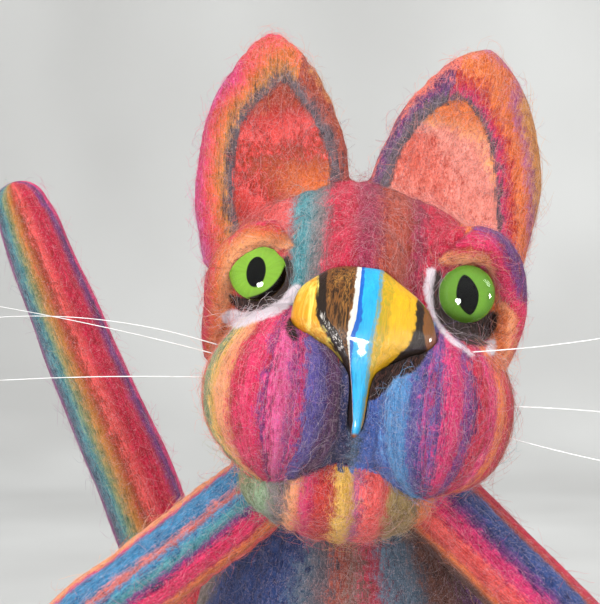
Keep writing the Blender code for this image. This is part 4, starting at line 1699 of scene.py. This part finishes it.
@dataclass(frozen=True)
class PaintFinish:
    """Brushed paint under a thick clear lacquer, with wood showing through where it is brown.

    A place across the paints is counted in paints from the left. Heights are in millimetres and fall from 0
    at the nose's top.
    """

    gilt: Colour = (0.42, 0.19, 0.035)
    pores: Colour = (0.020, 0.010, 0.005)
    # Painted highlight: a light yellow laid along the brush ridges of the amber band, standing for light
    # caught on the lacquer.
    glow: Colour = (1.0, 0.80, 0.16)
    moss: Colour = (0.30, 0.30, 0.02)
    # Painted highlight: a pale colour laid in thin streaks on the dark line of the left lobe, standing for
    # glints of light on the lacquer.
    bare: Colour = (0.82, 0.76, 0.70)
    point: Colour = (0.42, 0.13, 0.025)

    def build(self, streaks: bpy.types.NodeTree) -> bpy.types.Material:
        """Make the nose's material.

        Args:
            streaks: The group that draws brush hairs and wood grain.

        Returns:
            The material.
        """
        material, graph, shader = new_material("lacquered_paint")
        grain = graph.stored("grain")
        fine, bundle, _ = graph.group(streaks, grain, 0.42, 7.0)
        shift = graph.centred(graph.noise(grain, scale=0.55, detail=3.0), 0.35)
        place = graph.math("ADD", graph.stored("paint", "Fac"), shift)
        colour = graph.ramp(graph.math("DIVIDE", place, NOSE_PAINT.end), NOSE_PAINT)
        height = graph.split(grain)[2]
        wood = graph.near(place, 2.5, 0.5)
        # Mask of the painted highlight streaks: fine streaks within a band of heights down the nose.
        streaked = graph.math("MULTIPLY", graph.near(height, -17.5, 4.5), graph.fit(fine, 0.55, 0.72))
        for where, how_much, tone in (
                (wood, graph.fit(bundle, 0.52, 0.85, 0.0, 0.75), self.gilt),
                (wood, graph.fit(fine, 0.35, 0.62, 0.9, 0.0), self.pores),
                # painted highlight along the amber band's brush ridges
                (graph.near(place, 0.75, 0.45), graph.fit(bundle, 0.35, 0.8), self.glow),
                (graph.near(place, 6.05, 0.28), graph.fit(fine, 0.3, 0.8, 0.2, 0.8), self.moss),
                # painted highlight streaks on the dark line
                (streaked, graph.near(place, 1.62, 0.30), self.bare)):
            colour = graph.mix(graph.math("MULTIPLY", where, how_much), colour, tone)
        colour = graph.mix(graph.fit(height, -39.6, -40.2), colour, self.point)
        shade = graph.fit(graph.total((fine, 0.5), (bundle, 0.5)), 0.15, 0.85, 0.70, 1.12)
        bump = graph.bump(graph.math("ADD", fine, bundle), 0.5, 0.0003)
        graph.plug(shader, {"Base Color": graph.scaled(colour, shade), "Normal": bump, "Roughness": 0.35,
                            "Coat Weight": 1.0, "Coat Roughness": 0.10})
        return material


@dataclass(frozen=True)
class NylonFinish:
    """Clear pale nylon line."""

    def build(self) -> bpy.types.Material:
        """Make the whiskers' material, a little cloudier here and there."""
        material, graph, shader = new_material("pale_nylon")
        spots = graph.noise(graph.object_place(), scale=400.0)
        colour = graph.mix(graph.fit(spots, 0.3, 0.7), (0.82, 0.82, 0.80), (1.0, 1.0, 1.0))
        graph.plug(shader, {"Base Color": colour, "Roughness": 0.22, "Specular IOR Level": 0.7})
        return material


@dataclass(frozen=True)
class Fluff:
    """Loose fibres that stand out of one part of the wool or lie over it."""

    name: str
    seed: int
    regions: tuple[str, ...]
    dense: tuple[str, ...] = ("tuft",)
    dense_share: float = 0.9
    count: int = 5600
    front_share: float = 0.5
    length: tuple[float, float] = (0.0030, 0.0090)
    radius: float = 0.000030
    standing: float = 0.45
    rise: tuple[float, float] = (0.0006, 0.0040)
    lift: tuple[float, float] = (0.0001, 0.0006)
    curl: float = 260.0
    stray: float = 0.55
    wobble: float = 0.22
    rings: int = 6
    corners: int = 3
    sunk: float = 0.00005
    # Partly the colour of paler loose fibres, partly painted sheen of fibres that catch the light.
    pale: Colour = (0.80, 0.64, 0.66)
    pale_share: float = 0.7
    tone: tuple[float, float] = (0.85, 1.15)

    def build(self, felt: "Coat", material: bpy.types.Material) -> None:
        """Grow the fibres and dress them.

        Args:
            felt: The wool that they grow from.
            material: Their material.
        """
        rng = np.random.default_rng(self.seed)
        roots, normals, headings, colours = felt.pick(rng, self)
        lines = self.lines(rng, felt, roots, normals, headings)
        clear = felt.clear_of_fittings(lines)
        lines, colours = lines[clear], colours[clear]
        fluff = self.mesh(lines)
        store_colours(fluff, np.repeat(self.tint(rng, colours), self.corners * self.rings, axis=0))
        finish(fluff, material, "wool")

    def tint(self, rng: np.random.Generator, colours: np.ndarray) -> np.ndarray:
        """Make some fibres paler than the wool under them, partly as paler loose fibres and partly as painted
        sheen where fibres catch the light.
        """
        share = rng.uniform(0.0, self.pale_share, (len(colours), 1)) ** 1.8
        paler = colours + (np.array(self.pale) - colours) * share
        return paler * rng.uniform(*self.tone, (len(colours), 1))

    def lines(self, rng: np.random.Generator, felt: "Coat", roots: np.ndarray, normals: np.ndarray,
              headings: np.ndarray) -> np.ndarray:
        """Let every fibre wander over the wool, curling as it goes.

        Args:
            rng: The source of chance.
            felt: The wool.
            roots: Where each fibre starts.
            normals: The wool's normal there.
            headings: The way the wool's own fibres run there.

        Returns:
            For each fibre, the points of its middle line.
        """
        count = len(roots)
        step = (rng.uniform(*self.length, count) / (self.rings - 1))[:, None]
        angle = rng.normal(0.0, self.stray, count) + math.pi * rng.integers(0, 2, count)
        turn = rng.normal(0.0, self.curl, count) * step[:, 0]
        stands = rng.random(count) < self.standing
        rise = np.where(stands, rng.uniform(*self.rise, count), rng.uniform(*self.lift, count))
        place, found = roots, []
        for ring in range(self.rings):
            share = ring / (self.rings - 1)
            height = np.where(stands, rise * share ** 0.8, rise * 4.0 * share * (1.0 - share))
            found.append(place + normals * (height - self.sunk)[:, None])
            side = np.cross(normals, headings)
            way = headings * np.cos(angle)[:, None] + side * np.sin(angle)[:, None]
            place, normals = felt.nearest(place + way * step)
            headings = unit(headings - normals * np.einsum("ij,ij->i", headings, normals)[:, None])
            angle = angle + turn + rng.normal(0.0, self.wobble, count)
        return np.stack(found, axis=1)

    def mesh(self, lines: np.ndarray) -> bpy.types.Object:
        """Wrap each line in a thin closed tube of a few sides that tapers to its tip.

        Args:
            lines: The points of each fibre.

        Returns:
            One object with every fibre.
        """
        count, rings = lines.shape[:2]
        sides = self.corners
        along = unit(np.gradient(lines, axis=1).reshape(-1, 3))
        across = unit(np.cross(along, (0.31, 0.27, 0.91)))
        over = np.cross(along, across)
        radius = self.radius * np.interp(np.arange(rings), (0, rings - 2, rings - 1), (1.0, 0.85, 0.3))
        radius = np.tile(radius, count)[:, None]
        corners = [lines.reshape(-1, 3) + radius * (math.cos(a) * across + math.sin(a) * over)
                   for a in (corner * math.tau / sides for corner in range(sides))]
        points = np.stack(corners, axis=1).reshape(-1, 3)
        ring = np.arange(rings - 1)[:, None] * sides
        low = ring + np.arange(sides)
        after = ring + (np.arange(sides) + 1) % sides
        wall = np.stack([low, after, after + sides, low + sides], axis=2).reshape(-1, 4)
        base = (np.arange(count) * sides * rings)[:, None, None]
        quads = (wall[None] + base).reshape(-1, 4).tolist()
        last = sides * (rings - 1)
        ends = np.array([range(sides - 1, -1, -1), range(last, last + sides)])
        caps = (ends[None] + base).reshape(-1, sides).tolist()
        mesh = bpy.data.meshes.new(self.name)
        mesh.from_pydata(points.tolist(), [], quads + caps)
        return show(self.name, mesh)


def store_colours(thing: bpy.types.Object, colours: np.ndarray) -> None:
    """Keep a colour at each point."""
    made = thing.data.attributes.new("fibre_colour", "FLOAT_COLOR", "POINT")
    table = np.hstack([colours, np.ones((len(colours), 1))])
    made.data.foreach_set("color", table.astype(np.float32).ravel())


class Coat:
    """The finished wool as the loose fibres see it: its faces, colours and the run of its fibres."""

    bare_foot = 0.0015
    floor_gap = 0.0002
    nose_gap = 0.0005
    fitting_depth = 0.006

    def __init__(self, felt: bpy.types.Object, layers: Sequence[Layer], grain: np.ndarray,
                 head: Head) -> None:
        """Read the wool.

        Args:
            felt: The finished felted body, all triangles.
            layers: Its regions.
            grain: The straightened place of each of its points.
            head: The head.
        """
        self.head = head
        self.points = read_points(felt)
        corners = np.empty(3 * len(felt.data.polygons), dtype=np.int32)
        felt.data.polygons.foreach_get("vertices", corners)
        self.corners = corners.reshape(-1, 3)
        self.tree = BVHTree.FromPolygons(self.points.tolist(), self.corners.tolist())
        colour = np.full((len(self.points), 3), 0.5)
        owner = np.zeros(len(self.points), dtype=int)
        for number, layer in enumerate(layers):
            colour = layer.paint(colour)
            owner = np.where(layer.inside > 0.0, number, owner)
        self.colour = colour
        self.owner = owner[self.corners[:, 0]]
        self.names = [layer.name for layer in layers]
        first, second, third = (self.points[self.corners[:, i]] for i in range(3))
        cross = np.cross(second - first, third - first)
        self.area = 0.5 * np.linalg.norm(cross, axis=1)
        self.normal = unit(cross)
        run = grain[:, 2][self.corners]
        slope = ((run[:, 1] - run[:, 0])[:, None] * np.cross(third - first, self.normal)
                 + (run[:, 2] - run[:, 0])[:, None] * np.cross(self.normal, second - first))
        lost = np.linalg.norm(slope, axis=1) < 1e-12
        slope[lost] = np.cross(self.normal[lost], (1.0, 0.0, 0.0))
        self.heading = unit(slope)

    def pick(self, rng: np.random.Generator, fluff: Fluff) -> tuple[np.ndarray, ...]:
        """Choose where fibres start.

        Args:
            rng: The source of chance.
            fluff: The fibres to be grown.

        Returns:
            Roots, normals, headings and colours.
        """
        numbers = [i for i, name in enumerate(self.names) if name.startswith(fluff.regions)]
        weight = self.area * np.isin(self.owner, numbers)
        dense = [i for i, name in enumerate(self.names) if name.startswith(fluff.dense)]
        weight = np.where(np.isin(self.owner, dense), fluff.dense_share * weight, weight)
        front = 0.5 - 0.5 * self.normal[:, 1]
        weight = weight * (1.0 - fluff.front_share + fluff.front_share * front * 2.0)
        weight[self.points[self.corners[:, 0], 2] < self.bare_foot] = 0.0
        faces = rng.choice(len(weight), fluff.count, p=weight / weight.sum())
        shares = rng.dirichlet((1.0, 1.0, 1.0), fluff.count)
        roots = np.einsum("ij,ijk->ik", shares, self.points[self.corners[faces]])
        return roots, self.normal[faces], self.heading[faces], self.colour[self.corners[faces, 0]]

    def nearest(self, places: np.ndarray) -> tuple[np.ndarray, np.ndarray]:
        """Bring points back to the wool's skin and give the normals there."""
        found = [self.tree.find_nearest(place)[:2] for place in places.tolist()]
        return np.array([place for place, _ in found]), np.array([normal for _, normal in found])

    def clear_of_fittings(self, lines: np.ndarray) -> np.ndarray:
        """Say which fibres keep off the glass, the nose and the floor."""
        flat = lines.reshape(-1, 3)
        bad = flat[:, 2] < self.floor_gap
        for way in SIDES.values():
            x, y, z = moved(flat, EYE.frame(self.head, way).inverted()).T
            bad |= (np.hypot(x, z) < 0.5 * EYE.diameter) & (np.abs(y) < self.fitting_depth)
        local = moved(flat, NOSE.frame(self.head).inverted())
        inside = (local[:, 2] < self.nose_gap) & (-local[:, 2] < NOSE.height)
        inside &= local[:, 1] < self.fitting_depth
        left, right = NOSE.sides(-local[:, 2])
        bad |= inside & (local[:, 0] > -left) & (local[:, 0] < right)
        return ~bad.reshape(lines.shape[:2]).any(axis=1)


@dataclass(frozen=True)
class Whiskers:
    """Six nylon whiskers, each drawn from its plain tube in the frame."""

    names: tuple[str, ...] = ("left_top", "left_middle", "left_low", "right_top", "right_middle", "right_low")
    rings: int = 7
    root_radius: float = 0.00015
    tip_radius: float = 0.00006
    sunk: float = 0.0012

    def middle_line(self, node: str) -> np.ndarray:
        """Find the middle line of a plain tube, from the cheek outwards."""
        points = np.unique(read_points(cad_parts[node]).round(7), axis=0)
        order = np.argsort(np.abs(points[:, 0]))
        return np.array([part.mean(axis=0) for part in np.array_split(points[order], self.rings)])

    def build(self, material: bpy.types.Material) -> None:
        """Make every whisker, with its root in the wool."""
        for name in self.names:
            line = self.middle_line(f"whisker_{name}")
            line[0] -= unit((line[1] - line[0])[None])[0] * self.sunk
            points = smooth_path(line, 5)
            radii = np.linspace(self.root_radius, self.tip_radius, len(points))
            whisker = sweep(f"nylon_{name}", points, radii, 2)
            choose([whisker])
            bpy.ops.object.shade_smooth()
            finish(whisker, material, "whisker_nylon", f"whisker_{name}")


@dataclass(frozen=True)
class Studio:
    """A pale curved backdrop, soft light and the camera in front of the face."""

    camera_place: Point = (-0.0150, -0.5030, 0.16044)
    view_distance: float = 0.450
    pixel: float = 0.00024
    picture_height: int = 604
    sensor: float = 36.0
    room: float = 1.65
    room_height: float = 1.5
    bend: float = 0.55
    floor_disc: float = 0.1
    below: float = 0.0001
    steps: int = 16
    sides: int = 96
    # The darker and the lighter tone of the backdrop's painted fold shading.
    grey: Colour = (0.50, 0.50, 0.49)
    pale: Colour = (0.64, 0.645, 0.635)
    sky: tuple[float, float, float, float] = (0.95, 0.97, 1.0, 1.0)
    sky_strength: float = 0.22

    def camera(self) -> None:
        """Place the camera at the photograph's height and distance."""
        data = bpy.data.cameras.new("camera")
        data.sensor_width = self.sensor
        data.lens = self.view_distance / (self.picture_height * self.pixel) * self.sensor
        data.clip_start = 0.01
        camera = show("camera", data)
        camera.location = self.camera_place
        camera.rotation_euler = (math.radians(90.0), 0.0, 0.0)
        bpy.context.scene.camera = camera

    def backdrop(self) -> None:
        """Turn a round floor that curves up into a wall, so that the part stands free on every side."""
        line = [(self.floor_disc, 0.0)]
        for step in range(self.steps + 1):
            angle = 0.5 * math.pi * step / self.steps
            line.append((self.room - self.bend + self.bend * math.sin(angle),
                         self.bend - self.bend * math.cos(angle)))
        line.append((self.room, self.room_height))
        turns = [2.0 * math.pi * side / self.sides for side in range(self.sides)]
        points = [(r * math.cos(turn), r * math.sin(turn), z - self.below) for r, z in line for turn in turns]
        faces = [tuple(range(self.sides))]
        for ring in range(len(line) - 1):
            for side in range(self.sides):
                corners = (side, (side + 1) % self.sides)
                faces.append(tuple(ring * self.sides + i for i in reversed(corners))
                             + tuple((ring + 1) * self.sides + i for i in corners))
        mesh = bpy.data.meshes.new("backdrop")
        mesh.from_pydata(points, [], faces)
        mesh.shade_smooth()
        mesh.materials.append(self.paper())
        backdrop = show("backdrop", mesh)
        backdrop.visible_glossy = False
        backdrop.visible_shadow = False

    def paper(self) -> bpy.types.Material:
        """Make the backdrop's material: lighter and darker cloudy patches, stretched upright, painted as the
        light and shade of soft folds.
        """
        material, graph, shader = new_material("pale_paper")
        tall = graph.vector("MULTIPLY", {0: graph.object_place(), 1: (1.0, 1.0, 0.45)})
        # Painted light and shade: the cloudy patches stand for soft folds in the backdrop.
        clouds = graph.fit(graph.noise(tall, scale=3.4), 0.3, 0.7)
        graph.plug(shader, {"Base Color": graph.mix(clouds, self.grey, self.pale), "Roughness": 0.9})
        return material

    def light(self, name: str, place: Point, aim: Point, size: float, power: float, glint: bool) -> None:
        """Hang one round light.

        Args:
            name: Its name.
            place: Where it hangs.
            aim: The point that it shines at.
            size: Its diameter.
            power: Its power in watts.
            glint: Whether it only makes a small highlight on glass and lacquer.
        """
        data = bpy.data.lights.new(name, "AREA")
        data.shape = "DISK"
        data.size = size
        data.energy = power
        lamp = show(name, data)
        lamp.location = place
        lamp.rotation_euler = (Vector(aim) - Vector(place)).to_track_quat("-Z", "Y").to_euler()
        lamp.visible_camera = False
        lamp.visible_diffuse = not glint
        lamp.visible_glossy = lamp.visible_transmission = glint

    def build(self) -> None:
        """Set up the camera, the backdrop and the light."""
        self.camera()
        self.backdrop()
        world = bpy.data.worlds.new("room")
        world.use_nodes = True
        background = world.node_tree.nodes["Background"]
        Graph(world.node_tree).plug(background, {"Color": self.sky, "Strength": self.sky_strength})
        bpy.context.scene.world = world
        face, wall, front_wall = (0.0, -0.05, 0.155), (0.2, 1.6, 0.35), (0.0, -1.6, 0.35)
        for name, place, aim, size, power in (("window", (-0.70, -0.90, 0.95), face, 1.0, 13.0),
                                              ("fill", (0.95, -0.85, 0.60), face, 1.2, 4.4),
                                              ("front", (0.05, -1.10, 0.30), face, 0.8, 3.6),
                                              ("wall_light", (0.35, 0.35, 1.35), wall, 0.9, 16.5),
                                              ("front_wall_light", (0.0, -0.35, 1.35), front_wall, 0.9, 6.0),
                                              ("top", (0.1, 0.45, 1.35), face, 0.8, 2.6),
                                              ("low_glint", (-0.05, -0.41, 0.026), face, 0.12, 2.0),
                                              ("side_glint", (0.45, -0.08, 0.13), face, 0.08, 0.9)):
            self.light(name, place, aim, size, power, name.endswith("glint"))
        bpy.context.scene.view_settings.view_transform = "Standard"


def main() -> None:
    """Build the cat and its studio, piece by piece."""
    logging.basicConfig(level=logging.INFO, format="%(name)s: %(message)s")
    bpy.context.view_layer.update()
    Studio().build()
    head, figure = Head(), Figure()
    dressing = Dressing(head, figure)
    felt = Felt().build(head, figure, dressing)
    layers, grain = dressing.layers(read_points(felt))
    for layer in layers:
        store(felt, layer.name, layer.table())
    store(felt, "grain", grain)
    streaks = streak_group()
    finish(felt, WoolFinish().build(layers, streaks), "wool", "felt_cat")
    glass = GlassFinish().build()
    for side, iris in IRISES.items():
        EYE.build(head, side, glass, iris.build(f"iris_{side}", streaks))
    NOSE.build(head, PaintFinish().build(streaks))
    Whiskers().build(NylonFinish().build())
    coat = Coat(felt, layers, grain, head)
    fibre = FibreFinish().build()
    for fluff in (Fluff("fluff_face", 11, ("face", "cheek", "chin", "lid", "tuft", "liner")),
                  Fluff("fluff_pads_and_ears", 12, ("pad", "ear", "inner")),
                  Fluff("fluff_arms", 13, ("arm", "torso")),
                  Fluff("fluff_tail_and_legs", 14, ("tail", "leg"), front_share=0.2)):
        fluff.build(coat, fibre)


if __name__ == "__main__":
    main()
